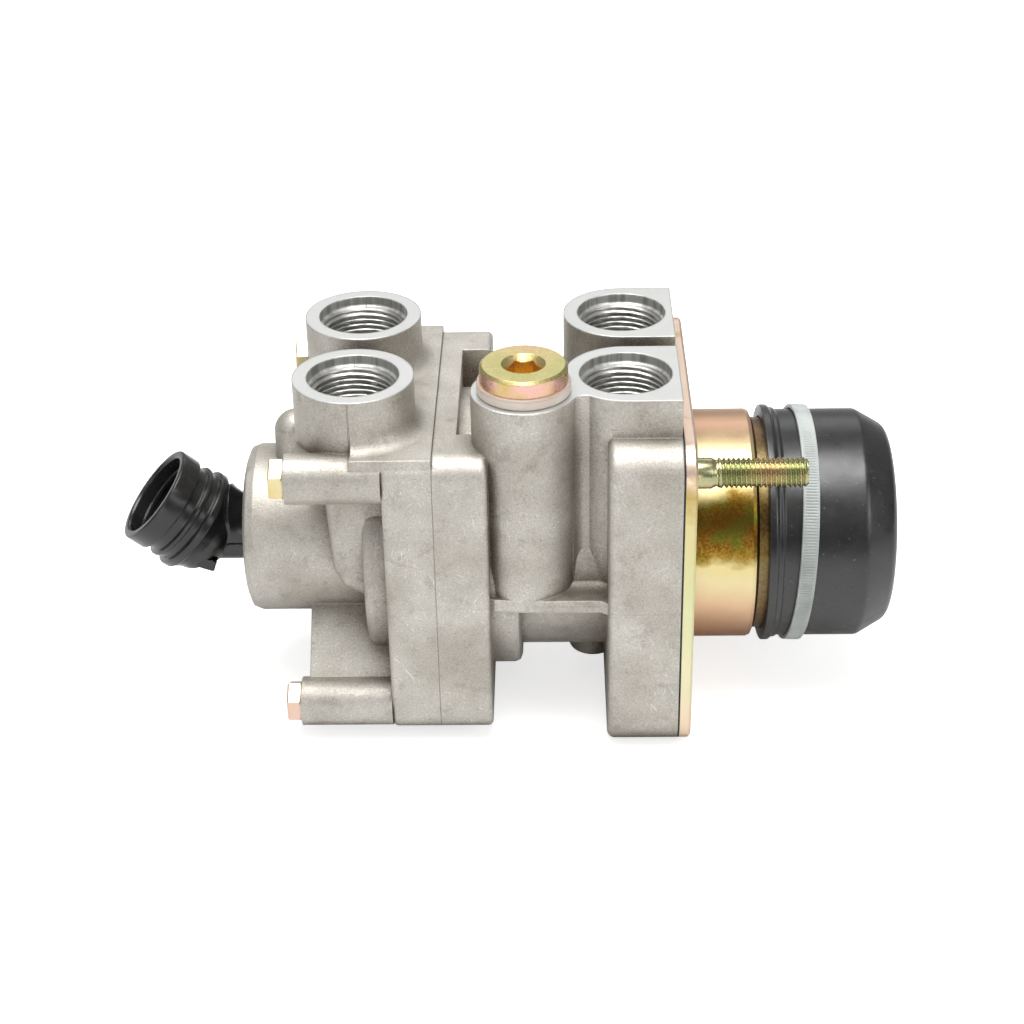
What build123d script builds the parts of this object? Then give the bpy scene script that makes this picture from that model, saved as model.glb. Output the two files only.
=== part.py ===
from build123d import *
import math
import os

# Dual-circuit foot brake valve of a truck, in millimetres.
# X is the valve's axis and points at the pedal. Z is the way the line ports look.
# The origin is the middle of the steel plate's outer face, which bolts to the pedal bracket.

os.makedirs("parts", exist_ok=True)

# Clearances
slide_gap = 0.05  # radial, between a moving piece and its bore
thread_gap = 0.04  # radial, between a screw and its hole
ring_gap = 0.03  # between an O-ring and its walls
stop_gap = 0.3  # between a moving piece and its rest stop
seat_gap = 0.02  # between a closed valve and its seat

# Mounting plate, gasket and studs
plate_thick = 3.0
plate_size = 89.8
plate_corner = 9.5
gasket_thick = 0.5
stud_pitch = plate_size - 19.1
stud_r = 4.0
stud_hole_r = 4.4
screw_hole_r = 3.4
stud_reach = 28.3
stud_shank = 4.4
stud_relief = 1.2
stud_relief_r = 3.4
stud_depth = 15.0

# Upper casting: the mounting block and its bores
block_thick = 18.7
edge_round = 2.0
tube_r = plate_size / 2 - 13.5
spigot_r = tube_r + 4.6
spigot_thick = 2.0
piston_bore_r = tube_r - 7.4
piston_floor = 18.5
seat_wall = 4.0
seat_hole_r = 9.0
seat_lip = 1.0
seat_lip_r = 10.2
valve_bore_r = 17.0
valve_room_r = 16.2

# Joint face between the castings and its flanges
joint_x = -66.9
flange_size = plate_size - 6.8
flange_corner = 6.5
upper_flange = 14.0
lower_flange = 13.0
flange_round = 1.4
notch_floor = 5.9
notch_half = flange_size / 2 - 16.5
bolt_pitch_y = flange_size - 13.0
bolt_pitch_z = flange_size - 14.0
bolt_r = 3.0
bolt_hole_r = 3.3
bolt_depth = 11.0
head_flats = 10.0
head_thick = 3.5
head_washer = 0.4
head_washer_r = 5.4
boss_r = 6.6

# Upper casting: outer walls
relay_drum_r = flange_size / 2 - 3.5
relay_drum_end = -45.0
waist_r = tube_r + 1.4
waist_boss_r = 6.7
waist_boss_low = -waist_r - 7.0

# Line ports
port_face_z = 55.5
port_y = 18.55
upper_port_x = -17.4
lower_port_x = -87.4
port_thread_r = 11.0
port_counterbore_r = 11.9
port_counterbore = 2.6
port_chamfer = 0.5
port_depth = 16.5
port_wall_r = 15.7
passage_r = 3.5

# Blanking plug column
column_x = -43.4
column_y = 17.4 - plate_size / 2
column_r = 13.7
column_draft = 0.5
column_top = 0.4
column_foot = -3.0
plug_thread_r = 9.0
plug_collar_r = 11.2
plug_collar = 4.5
plug_shank = 14.0
plug_washer_thick = 2.9
plug_washer_r = 12.0
hex_socket = 8.0
hex_depth = 7.0
hex_mouth_r = 5.65
rib_top = 0.5
rib_bottom = -3.0
rib_front = 4.1 - plate_size / 2
web_front = column_y - 3.5
web_back = -port_y - 1.45
web_fillet = 3.2
rib_fillet = 5.0

# Relay piston room
relay_bore_r = relay_drum_r - 5.0
relay_floor = 16.9
drum_r = flange_size / 2 - 6.5
delivery_bore_r = drum_r - 5.5
delivery_depth = 14.1
delivery_step_r = 20.0
delivery_step = 4.5

# Lower casting: outer walls
drum_end = -86.4
drum_round = 2.4
cap_r = valve_bore_r + 6.1
cap_end = -119.7
cap_fillet = 3.0
boss_end = -104.5
web_thick = 6.0
pad_left = lower_port_x - 0.3
pad_top = flange_size / 2 + 0.5
pad_half = flange_size / 2 - 1.7
shelf_left = boss_end + 2.0
shelf_top = bolt_pitch_z / 2 + 4.6
shelf_bottom = bolt_pitch_z / 2 - 3.5
buttress_left = boss_end + 8.1
buttress_front = 29.4
buttress_back = 12.0
buttress_round = 3.0
boss_flare = 4.2
bump_x = -105.4
bump_r = 6.0
bump_top = 36.0

# Guide tube and its bush
tube_wall = 2.0
tube_shoulder = 17.4
neck_start = 20.0
neck_r = tube_r - 2.4
tube_end = 35.0
bush_length = 12.0
bush_wall = 8.0
clip_thick = 1.2
clip_depth = 0.9
clip_width = 3.0
clip_gap = 9.0
small_clip_gap = 7.0

# Plunger and boot
plunger_r = neck_r - tube_wall - bush_wall
plunger_bore_r = plunger_r - 4.0
plunger_flange_r = neck_r - 3.0
plunger_flange = 4.0
nose_r = plunger_r - 3.0
cup_r = nose_r - 4.0
cup_depth = cup_r / 2
boot_left = 20.3
boot_rim = 2.9
boot_r = tube_r - 0.2
boot_rim_r = boot_r + 1.3
boot_tip_r = boot_r - 5.6
boot_end = 54.9
boot_taper = boot_end - 8.6
plunger_shoulder = boot_end - 2.5
plunger_end = boot_end - 0.9
boot_wall = 1.9
tie_width = 4.4
tie_thick = 1.1
tie_x = 29.7
tie_gap = 0.2
tie_tilt_y = 2.95
tie_tilt_z = 1.2

# Strokes
exhaust_gap = 0.8  # between a piston's stem and its valve at rest

# Valve sets
valve_r = 13.0
valve_thick = 4.0
valve_stem_r = 7.5
upper_valve_stem = 8.5
lower_valve_stem = 12.0
valve_hole_r = 5.0
stem_r = 6.5
guide_length = 11.0
guide_boss = 2.4
guide_boss_r = 9.3
relay_neck = 6.5
lower_guide_length = 15.0
spring_room = 6.0
ring_r = 1.3
small_ring_r = 0.9

# Springs
main_wire_r = 2.0
main_spring_rise = 3.5  # from the plunger's bore to the middle of the wire
fine_wire_r = 0.7
return_inset = 9.0  # from the piston's bore to the middle of the wire
relay_wire_r = 1.0
relay_spring_rise = 7.0
valve_spring_rise = 1.2

# Exhaust elbow
elbow_neck_r = 9.0
elbow_bore_r = 6.3
elbow_bend_x = -132.9
elbow_angle = 42.0
elbow_turn = 8.0
elbow_reach = 17.5
elbow_spigot = 5.0
elbow_mouth_r = 14.0
elbow_ring_r = 14.8
elbow_mouth_hole_r = 11.6
elbow_mouth_depth = 8.0
elbow_web = 5.0
latch_place = (-131.4, -10.0, -5.4)
latch_size = (4.8, 3.4, 3.2)
latch_tilt = 20
ledge_place = (-122.2, 0.1 - elbow_neck_r, -1.0)
ledge_size = (7.6, 1.4, 1.2)

# Places that follow from the sizes above
plate_left = -plate_thick
block_face = plate_left - gasket_thick
block_left = block_face - block_thick
waist_boss_x = block_left - 3.1
spigot_floor = block_face - spigot_thick
piston_floor_x = block_face - piston_floor
upper_wall_x = piston_floor_x - seat_wall
upper_seat_x = upper_wall_x - seat_lip
upper_valve_x = upper_seat_x - seat_gap
upper_guide_x = upper_valve_x - valve_thick - spring_room
relay_floor_x = joint_x + relay_floor
upper_flange_x = joint_x + upper_flange
lower_flange_x = joint_x - lower_flange
delivery_floor_x = joint_x - delivery_depth
delivery_step_x = delivery_floor_x - delivery_step
lower_wall_x = delivery_step_x - seat_wall
lower_seat_x = lower_wall_x - seat_lip
lower_valve_x = lower_seat_x - seat_gap
lower_guide_x = lower_valve_x - valve_thick - spring_room
lower_guide_end = lower_guide_x - lower_guide_length
upper_guide_end = upper_guide_x - guide_length
piston_clip_x = spigot_floor - 0.7 - clip_thick
piston_top = piston_clip_x - 0.1
piston_thick = 7.0
piston_bottom = piston_top - piston_thick
relay_top = relay_floor_x - stop_gap
relay_thick = 8.0
relay_bottom = relay_top - relay_thick
neck_inner_r = neck_r - tube_wall
bush_start = neck_start
bush_end = bush_start + bush_length
flange_right = bush_start - stop_gap
flange_left = flange_right - plunger_flange
seat_right = flange_left
seat_thick = 2.0
seat_left = seat_right - seat_thick
plug_seat_z = port_face_z + plug_washer_thick


def section(*points):
    # closed profile of (x, radius) points in the plane of the axis
    with BuildSketch(Plane.XZ) as profile:
        with BuildLine():
            Polyline(*points, close=True)
        make_face()
    return profile.sketch


def turned(*points, mode=Mode.ADD):
    # the profile turned about the valve's axis
    revolve(section(*points), axis=Axis.X, mode=mode)


def disc(x, y, z, radius):
    # flat circle that looks up, as a start for columns and holes
    with BuildSketch(Plane.XY.offset(z)) as flat:
        with Locations((x, y)):
            Circle(radius)
    return flat.sketch


def bolt_circles(x, radius):
    # circles for the four body bolts, across the axis
    with BuildSketch(Plane.YZ.offset(x)) as flat:
        with GridLocations(bolt_pitch_y, bolt_pitch_z, 2, 2):
            Circle(radius)
    return flat.sketch


def corner_pair(x, side, radius):
    # two circles at opposite corners of the stud square; side 1 has the one at the front top
    with BuildSketch(Plane.YZ.offset(x)) as flat:
        with Locations((-stud_pitch / 2, side * stud_pitch / 2), (stud_pitch / 2, -side * stud_pitch / 2)):
            Circle(radius)
    return flat.sketch


def o_ring(x, major, minor):
    with Locations(Location((x, 0, 0), (0, 90, 0))):
        Torus(major, minor)


def groove(x, outer, inner, half):
    # ring groove cut into a turned piece
    turned((x - half, inner), (x - half, outer), (x + half, outer), (x + half, inner), mode=Mode.SUBTRACT)


def coil(x_low, x_high, mean_r, wire_r, turns):
    # round wire along a helix between two seats
    height = x_high - x_low - 2 * wire_r
    path = Helix(height / turns, height, mean_r, center=(x_low + wire_r, 0, 0), direction=(1, 0, 0))
    with BuildSketch(Plane(origin=path @ 0, z_dir=path % 0)) as wire:
        RegularPolygon(wire_r, 8)
    sweep(wire.sketch, path=path)


def circlip(x_low, x_high, inner_r, outer_r, gap_width):
    # open retaining ring with its gap upwards
    with BuildSketch(Plane.YZ.offset(x_low)) as ring:
        Circle(outer_r)
        Circle(inner_r, mode=Mode.SUBTRACT)
        with Locations((0, outer_r)):
            Rectangle(gap_width, outer_r, mode=Mode.SUBTRACT)
    extrude(ring.sketch, amount=x_high - x_low)


def port_hole(x, y):
    # counterbore for the seal, chamfer and thread bore of one line port
    extrude(disc(x, y, port_face_z, port_counterbore_r), amount=-port_counterbore, mode=Mode.SUBTRACT)
    extrude(disc(x, y, port_face_z, port_thread_r), amount=-port_depth, mode=Mode.SUBTRACT)
    with Locations((x, y, port_face_z - port_counterbore - port_chamfer / 2)):
        Cone(port_thread_r, port_thread_r + port_chamfer, port_chamfer, mode=Mode.SUBTRACT)


def passage(start, end, radius):
    # drilled air passage between two points
    way = Vector(*end) - Vector(*start)
    with BuildSketch(Plane(origin=start, z_dir=way)) as mouth:
        Circle(radius)
    extrude(mouth.sketch, amount=way.length, mode=Mode.SUBTRACT)


# Upper casting
with BuildPart() as upper_body:
    with BuildSketch(Plane.YZ.offset(block_left)):
        RectangleRounded(plate_size, plate_size, plate_corner)
    extrude(amount=block_thick)
    fillet(upper_body.faces().sort_by(Axis.X)[0].edges(), edge_round)

    # flange at the joint, thinned along its top
    with BuildPart(mode=Mode.PRIVATE) as joint_flange:
        with BuildSketch(Plane.YZ.offset(joint_x)):
            RectangleRounded(flange_size, flange_size, flange_corner)
        extrude(amount=upper_flange)
        fillet(joint_flange.faces().sort_by(Axis.X)[-1].edges(), flange_round)
        with BuildSketch(Plane.YZ.offset(joint_x + notch_floor)):
            with Locations((0, flange_size / 2)):
                Rectangle(2 * notch_half, flange_size / 2)
        extrude(amount=upper_flange, mode=Mode.SUBTRACT)
    add(joint_flange.part)

    # drums round the two pistons
    turned(
        (joint_x, 0),
        (joint_x, relay_drum_r),
        (relay_drum_end - 2, relay_drum_r),
        (relay_drum_end - 0.6, relay_drum_r - 0.6),
        (relay_drum_end, relay_drum_r - 2),
        (relay_drum_end, waist_r),
        (block_left, waist_r),
        (block_left, 0),
    )
    with BuildPart(mode=Mode.PRIVATE) as waist_boss:
        extrude(disc(waist_boss_x, 0, waist_boss_low, waist_boss_r), amount=12)
        fillet(waist_boss.edges().group_by(Axis.Z)[0], 1.2)
    add(waist_boss.part)

    # port towers
    with BuildSketch(Plane.XY):
        with Locations((upper_port_x, -port_y), (upper_port_x, port_y)):
            Circle(port_wall_r)
            with Locations(((block_face - upper_port_x) / 2, 0)):
                Rectangle(block_face - upper_port_x, 2 * port_wall_r)
    extrude(amount=port_face_z)
    with BuildSketch(Plane.YZ.offset(block_face)):
        Rectangle(2 * plate_size, 2 * plate_size)
    extrude(amount=port_wall_r, mode=Mode.SUBTRACT)

    # plug column, wider at its top, and the web that joins it to the towers
    with BuildPart(mode=Mode.PRIVATE) as column:
        column_top_face = disc(column_x, column_y, port_face_z, column_r)
        extrude(column_top_face, amount=column_foot - port_face_z, taper=column_draft)
        fillet(column.edges().group_by(Axis.Z)[-1], column_top)
    add(column.part)
    corner_r = column_r - 0.2 + web_fillet
    corner_y = web_front - web_fillet
    corner_x = column_x + math.sqrt(corner_r**2 - (column_y - corner_y) ** 2)
    touch = 1 - web_fillet / corner_r
    touch_point = (column_x + touch * (corner_x - column_x), column_y + touch * (corner_y - column_y))
    with BuildSketch(Plane.XY):
        with BuildLine():
            Polyline(
                (corner_x, web_front),
                (upper_port_x, web_front),
                (upper_port_x, web_back),
                (column_x, column_y),
                touch_point,
            )
            RadiusArc(touch_point, (corner_x, web_front), web_fillet)
        make_face()
    extrude(amount=port_face_z)

    # horizontal rib from the joint flange to the block
    with BuildSketch(Plane.XY.offset(rib_bottom)):
        with BuildLine():
            Polyline(
                (block_left + 1, -20),
                (upper_flange_x - 1, -20),
                (upper_flange_x - 1, rib_front + 2),
                (upper_flange_x + 1.2, rib_front + 1),
                (column_x + 3.4, rib_front),
                (block_left - 1.9, rib_front),
                (block_left + 1, rib_front - 2),
                close=True,
            )
        make_face()
    extrude(amount=rib_top - rib_bottom)
    with BuildSketch(Plane.YZ.offset(column_x)):
        with BuildLine():
            Polyline(
                (web_front - rib_fillet, rib_top),
                (web_front - rib_fillet, rib_top - 1),
                (web_front + 1, rib_top - 1),
                (web_front + 1, rib_top + rib_fillet),
                (web_front, rib_top + rib_fillet),
            )
            RadiusArc(
                (web_front, rib_top + rib_fillet),
                (web_front - rib_fillet, rib_top),
                rib_fillet,
            )
        make_face()
    extrude(amount=block_left - column_x)

    # bores along the axis, from the plate side to the joint
    turned(
        (block_face, 0),
        (block_face, spigot_r + stop_gap),
        (spigot_floor, spigot_r + stop_gap),
        (spigot_floor, piston_bore_r),
        (piston_floor_x, piston_bore_r),
        (piston_floor_x, seat_hole_r),
        (upper_seat_x, seat_hole_r),
        (upper_seat_x, seat_lip_r),
        (upper_wall_x, seat_lip_r + 0.6),
        (upper_wall_x, valve_room_r),
        (upper_guide_x, valve_room_r),
        (upper_guide_x, valve_bore_r),
        (relay_floor_x, valve_bore_r),
        (relay_floor_x, relay_bore_r),
        (joint_x, relay_bore_r),
        (joint_x, 0),
        mode=Mode.SUBTRACT,
    )
    piston_clip_mid = piston_clip_x + clip_thick / 2
    groove(piston_clip_mid, piston_bore_r + clip_depth + 0.2, piston_bore_r - 1, clip_thick / 2 + 0.05)
    upper_clip_mid = upper_guide_end - 0.1 - clip_thick / 2
    groove(upper_clip_mid, valve_bore_r + clip_depth + 0.1, valve_bore_r - 1, clip_thick / 2 + 0.05)
    for side in (-1, 1):
        port_hole(upper_port_x, side * port_y)
    port_floor_z = port_face_z - port_depth
    passage((upper_port_x, port_y - 3.5, port_floor_z + 1), (upper_port_x, port_y - 3.5, 12), passage_r)
    passage((-20, -15.5, port_floor_z + 1), (-33.5, -6, 12), passage_r)

    # plug column: thread bore, then the control passages to the two pistons
    plug_hole = disc(column_x, column_y, port_face_z, plug_thread_r + thread_gap)
    extrude(plug_hole, amount=-plug_shank - 2, mode=Mode.SUBTRACT)
    extrude(disc(column_x, column_y, port_face_z, passage_r), amount=-port_face_z + 4, mode=Mode.SUBTRACT)
    passage((column_x, column_y, 7.5), (relay_floor_x - 2, column_y + 4, 7.5), 2.5)
    passage((column_x, column_y, 7.5), (piston_floor_x + 2, 4.7 - piston_bore_r, 7.5), 2.5)

    # holes for the studs and the body bolts
    extrude(corner_pair(block_face, 1, stud_r + thread_gap), amount=-stud_depth - 1, mode=Mode.SUBTRACT)
    extrude(corner_pair(block_face, -1, screw_hole_r), amount=-stud_depth - 1, mode=Mode.SUBTRACT)
    extrude(bolt_circles(joint_x, bolt_r + thread_gap), amount=bolt_depth + 1, mode=Mode.SUBTRACT)

# Lower casting
with BuildPart() as lower_body:
    with BuildSketch(Plane.YZ.offset(lower_flange_x)):
        RectangleRounded(flange_size, flange_size, flange_corner)
    extrude(amount=lower_flange)
    fillet(lower_body.faces().sort_by(Axis.X)[0].edges(), flange_round)
    turned(
        (joint_x, 0),
        (joint_x, drum_r),
        (drum_end + drum_round, drum_r),
        (drum_end + 0.5 * drum_round, drum_r - 0.14 * drum_round),
        (drum_end + 0.14 * drum_round, drum_r - 0.5 * drum_round),
        (drum_end, drum_r - drum_round),
        (drum_end, 0),
    )
    turned(
        (joint_x, 0),
        (joint_x, cap_r),
        (cap_end + cap_fillet, cap_r),
        (cap_end + cap_fillet * 0.29, cap_r - cap_fillet * 0.29),
        (cap_end, cap_r - cap_fillet),
        (cap_end, 0),
    )
    extrude(bolt_circles(boss_end, boss_r), amount=lower_flange_x - boss_end)

    # slanting webs from the cap to the lower bolt bosses
    for side in (-1, 1):
        with BuildSketch(Plane.YZ.offset(boss_end + 2.0)):
            with Locations(Location((side * bolt_pitch_y / 4, -bolt_pitch_z / 4, 0), (0, 0, 45 * side))):
                Rectangle(web_thick, math.hypot(bolt_pitch_y, bolt_pitch_z) / 2)
        extrude(amount=lower_flange_x - boss_end - 1)

    # shelf between the upper bolt bosses and the pad under the ports
    with BuildSketch(Plane.YZ.offset(shelf_left)):
        with Locations((0, (shelf_top + shelf_bottom) / 2)):
            Rectangle(bolt_pitch_y, shelf_top - shelf_bottom)
    extrude(amount=lower_flange_x - shelf_left)
    with BuildSketch(Plane.YZ.offset(pad_left)):
        with Locations((0, (pad_top + shelf_bottom) / 2)):
            Rectangle(2 * pad_half, pad_top - shelf_bottom)
    extrude(amount=joint_x - pad_left)

    # port bosses with a wide fillet on the pad, and the buttresses that carry their air down the cap
    for side in (-1, 1):
        boss_base = disc(lower_port_x, side * port_y, shelf_bottom, port_wall_r)
        extrude(boss_base, amount=port_face_z - shelf_bottom)
        with BuildSketch(Plane.XZ.offset(-side * port_y)) as flare:
            with BuildLine():
                boss_edge = lower_port_x + port_wall_r
                Polyline(
                    (boss_edge, pad_top + boss_flare),
                    (boss_edge - 1, pad_top + boss_flare),
                    (boss_edge - 1, pad_top - 1),
                    (boss_edge + boss_flare, pad_top - 1),
                    (boss_edge + boss_flare, pad_top),
                )
                RadiusArc(
                    (boss_edge + boss_flare, pad_top),
                    (boss_edge, pad_top + boss_flare),
                    boss_flare,
                )
            make_face()
        revolve(flare.sketch, axis=Axis((lower_port_x, side * port_y, 0), (0, 0, 1)), revolution_arc=-90)
        revolve(flare.sketch, axis=Axis((lower_port_x, side * port_y, 0), (0, 0, 1)), revolution_arc=90)
    for side in (-1, 1):
        with BuildPart(mode=Mode.PRIVATE) as buttress:
            with BuildSketch(Plane.XZ.offset(-side * buttress_back)):
                with BuildLine():
                    Polyline(
                        (buttress_left, shelf_bottom + 2),
                        (buttress_left + 1.7, 3),
                        (buttress_left + 4.2, -2.5),
                        (buttress_left + 8.6, -4.8),
                        (buttress_left + 10.4, -4.8),
                        (buttress_left + 10.4, 17),
                        (buttress_left + 11.3, 19.1),
                        (buttress_left + 13.4, 20),
                        (lower_flange_x + 1, 20),
                        (lower_flange_x + 1, shelf_bottom + 2),
                        close=True,
                    )
                make_face()
            extrude(amount=-side * (buttress_front - buttress_back))
            front = buttress.faces().sort_by(Axis.Y)[0 if side < 0 else -1]
            fillet(front.edges().sort_by(Axis.X)[:3], buttress_round)
        add(buttress.part)
    extrude(disc(bump_x, 0, 10, bump_r), amount=bump_top - bump_r - 10)
    with Locations((bump_x, 0, bump_top - bump_r)):
        Sphere(bump_r)

    # bores along the axis, from the joint to the cap's end
    turned(
        (joint_x, 0),
        (joint_x, delivery_bore_r),
        (delivery_floor_x, delivery_bore_r),
        (delivery_floor_x, delivery_step_r),
        (delivery_step_x, delivery_step_r),
        (delivery_step_x, seat_hole_r),
        (lower_seat_x, seat_hole_r),
        (lower_seat_x, seat_lip_r),
        (lower_wall_x, seat_lip_r + 0.6),
        (lower_wall_x, valve_room_r),
        (lower_guide_x, valve_room_r),
        (lower_guide_x, valve_bore_r),
        (cap_end, valve_bore_r),
        (cap_end, 0),
        mode=Mode.SUBTRACT,
    )
    lower_clip_mid = lower_guide_end - 0.1 - clip_thick / 2
    groove(lower_clip_mid, valve_bore_r + clip_depth + 0.1, valve_bore_r - 1, clip_thick / 2 + 0.05)
    for side in (-1, 1):
        port_hole(lower_port_x, side * port_y)
    passage((-80.8, port_y, port_floor_z + 1), (-80.8, port_y - 2, 15), passage_r)
    passage((-90, -port_y, port_floor_z + 1), (-97, -6, 12), passage_r)
    seal_mid_r = relay_bore_r + 3.4
    turned(
        (joint_x, seal_mid_r - ring_r - ring_gap),
        (joint_x, seal_mid_r + ring_r + ring_gap),
        (joint_x - 2 * ring_r - ring_gap, seal_mid_r + ring_r + ring_gap),
        (joint_x - 2 * ring_r - ring_gap, seal_mid_r - ring_r - ring_gap),
        mode=Mode.SUBTRACT,
    )
    extrude(bolt_circles(boss_end, bolt_hole_r), amount=joint_x - boss_end, mode=Mode.SUBTRACT)

with BuildPart() as body_seal:
    o_ring(joint_x - ring_r, seal_mid_r, ring_r)

# Bolts that hold the two castings together
with BuildPart() as body_bolts:
    with BuildSketch(Plane.YZ.offset(boss_end - head_washer - head_thick)):
        with GridLocations(bolt_pitch_y, bolt_pitch_z, 2, 2):
            RegularPolygon(head_flats / 2, 6, major_radius=False, rotation=30)
    extrude(amount=head_thick)
    chamfer(body_bolts.faces().group_by(Axis.X)[0].edges(), 0.4)
    extrude(bolt_circles(boss_end - head_washer, head_washer_r), amount=head_washer)
    extrude(bolt_circles(boss_end, bolt_r), amount=joint_x + bolt_depth - boss_end)

# Blanking plug with a hex socket, and its washer
with BuildPart() as blanking_plug:
    extrude(disc(column_x, column_y, plug_seat_z, plug_collar_r), amount=plug_collar)
    chamfer(blanking_plug.edges().group_by(Axis.Z)[-1], 0.7)
    extrude(disc(column_x, column_y, plug_seat_z, plug_thread_r), amount=-plug_shank)
    chamfer(blanking_plug.edges().group_by(Axis.Z)[0], 1.0)
    with BuildSketch(Plane.XY.offset(plug_seat_z + plug_collar)):
        with Locations((column_x, column_y)):
            RegularPolygon(hex_socket / 2, 6, major_radius=False)
    extrude(amount=-hex_depth, mode=Mode.SUBTRACT)
    mouth_depth = hex_mouth_r - hex_socket / 2
    with Locations((column_x, column_y, plug_seat_z + plug_collar - mouth_depth / 2)):
        Cone(hex_socket / 2, hex_mouth_r, mouth_depth, mode=Mode.SUBTRACT)

with BuildPart() as plug_washer:
    extrude(disc(column_x, column_y, port_face_z, plug_washer_r), amount=plug_washer_thick)
    washer_hole = disc(column_x, column_y, port_face_z, plug_thread_r + 0.2)
    extrude(washer_hole, amount=plug_washer_thick, mode=Mode.SUBTRACT)
    fillet(plug_washer.edges().sort_by(SortBy.LENGTH)[-2:], 0.5)

# Steel plate, its gasket and the two studs
with BuildPart() as mounting_plate:
    with BuildSketch(Plane.YZ.offset(plate_left)):
        RectangleRounded(plate_size, plate_size, plate_corner)
        Circle(tube_r + 0.3, mode=Mode.SUBTRACT)
        with GridLocations(stud_pitch, stud_pitch, 2, 2):
            Circle(stud_hole_r, mode=Mode.SUBTRACT)
    extrude(amount=plate_thick)
    chamfer(mounting_plate.faces().sort_by(Axis.X)[-1].outer_wire().edges(), 0.6)

with BuildPart() as plate_gasket:
    with BuildSketch(Plane.YZ.offset(block_face)):
        RectangleRounded(plate_size, plate_size, plate_corner)
        Circle(tube_r + 0.3, mode=Mode.SUBTRACT)
        with GridLocations(stud_pitch, stud_pitch, 2, 2):
            Circle(stud_hole_r, mode=Mode.SUBTRACT)
    extrude(amount=gasket_thick)

with BuildPart() as mounting_studs:
    stud_left = block_face - stud_depth
    extrude(corner_pair(stud_left, 1, stud_r), amount=stud_shank - stud_left)
    extrude(corner_pair(stud_shank, 1, stud_relief_r), amount=stud_relief)
    thread_start = stud_shank + stud_relief
    extrude(corner_pair(thread_start, 1, stud_r), amount=stud_reach - thread_start)
    chamfer(mounting_studs.edges().group_by(Axis.X)[-1], 0.8)

# Guide tube, plunger bush and its retaining ring
with BuildPart() as guide_tube:
    turned(
        (spigot_floor, spigot_r - 6.6),
        (spigot_floor, spigot_r),
        (block_face, spigot_r),
        (block_face, tube_r),
        (tube_shoulder - 1.2, tube_r),
        (tube_shoulder - 0.3, tube_r - 0.4),
        (tube_shoulder, tube_r - 1.2),
        (tube_shoulder + 0.6, neck_r),
        (tie_x - 2.5, neck_r),
        (tie_x - 2.0, neck_r + 0.25),
        (tie_x + 2.0, neck_r + 0.25),
        (tie_x + 2.5, neck_r),
        (tube_end, neck_r),
        (tube_end, neck_inner_r),
        (tube_shoulder - 1.4, neck_inner_r),
        (tube_shoulder - 1.4, tube_r - tube_wall),
    )
    bush_clip_mid = bush_end + 0.1 + clip_thick / 2
    groove(bush_clip_mid, neck_inner_r + clip_depth, neck_inner_r - 1, clip_thick / 2 + 0.05)

with BuildPart() as plunger_bush:
    turned(
        (bush_start, plunger_r + slide_gap),
        (bush_start, neck_inner_r),
        (bush_end, neck_inner_r),
        (bush_end, plunger_r + slide_gap),
    )

with BuildPart() as bush_clip:
    circlip(
        bush_end + 0.1,
        bush_end + 0.1 + clip_thick,
        neck_inner_r - clip_width,
        neck_inner_r + clip_depth - 0.1,
        clip_gap,
    )

# Plunger with the cup that the pedal rod pushes on
with BuildPart() as plunger:
    turned(
        (flange_left, plunger_bore_r),
        (flange_left, plunger_flange_r),
        (flange_right, plunger_flange_r),
        (flange_right, plunger_r),
        (plunger_shoulder, plunger_r),
        (plunger_shoulder, nose_r),
        (plunger_end, nose_r),
        (plunger_end, 0),
        (plunger_end - cup_depth - 5, 0),
        (plunger_end - cup_depth - 5, plunger_bore_r),
    )
    with Locations((plunger_end - cup_depth + cup_r, 0, 0)):
        Sphere(cup_r, mode=Mode.SUBTRACT)

with BuildPart() as spring_seat:
    turned(
        (seat_left, 0),
        (seat_left, plunger_flange_r - 1),
        (seat_right, plunger_flange_r - 1),
        (seat_right, plunger_bore_r - 0.3),
        (seat_right + 6, plunger_bore_r - 0.6),
        (seat_right + 6, plunger_bore_r - 3),
        (seat_right, plunger_bore_r - 3),
        (seat_right, 0),
    )

with BuildPart() as graduating_spring:
    coil(piston_top, seat_left, plunger_bore_r + main_spring_rise, main_wire_r, 3)

# Rubber boot and the tie round it
with BuildPart() as dust_boot:
    turned(
        (boot_left, neck_r + 0.3),
        (boot_left, boot_rim_r - 0.4),
        (boot_left + 0.4, boot_rim_r),
        (boot_left + boot_rim - 0.4, boot_rim_r),
        (boot_left + boot_rim, boot_rim_r - 0.4),
        (boot_left + boot_rim + 0.1, boot_r),
        (boot_taper, boot_r),
        (boot_end - 1.4, boot_tip_r + 1.2),
        (boot_end - 0.5, boot_tip_r),
        (boot_end, boot_tip_r - 1.8),
        (boot_end, nose_r + 1.0),
        (boot_end - 0.5, nose_r + 0.1),
        (plunger_shoulder, nose_r + 0.1),
        (plunger_shoulder, boot_tip_r - 2.8),
        (boot_taper, boot_r - boot_wall),
    )

with BuildPart() as boot_tie:
    tie_inner_r = boot_r + tie_gap
    with BuildSketch(Plane.XZ):
        with Locations((0, tie_inner_r + tie_thick / 2)):
            RectangleRounded(tie_width, tie_thick, 0.3)
    revolve(axis=Axis.X)
    with Locations((0, tie_inner_r + 2.2, 0)):
        Box(6.5, 4.4, 5.5)
    with Locations((0, tie_inner_r + 2.4, 0)):
        Box(4.6, 1.3, 5.6, mode=Mode.SUBTRACT)
tie_solid = boot_tie.part.moved(Location((tie_x, 0, 0), (0, tie_tilt_y, tie_tilt_z)))

# Primary piston with its ring, its retaining ring and its return spring
with BuildPart() as primary_clip:
    circlip(
        piston_clip_x,
        piston_clip_x + clip_thick,
        piston_bore_r - 2,
        piston_bore_r + clip_depth,
        clip_gap,
    )

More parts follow.
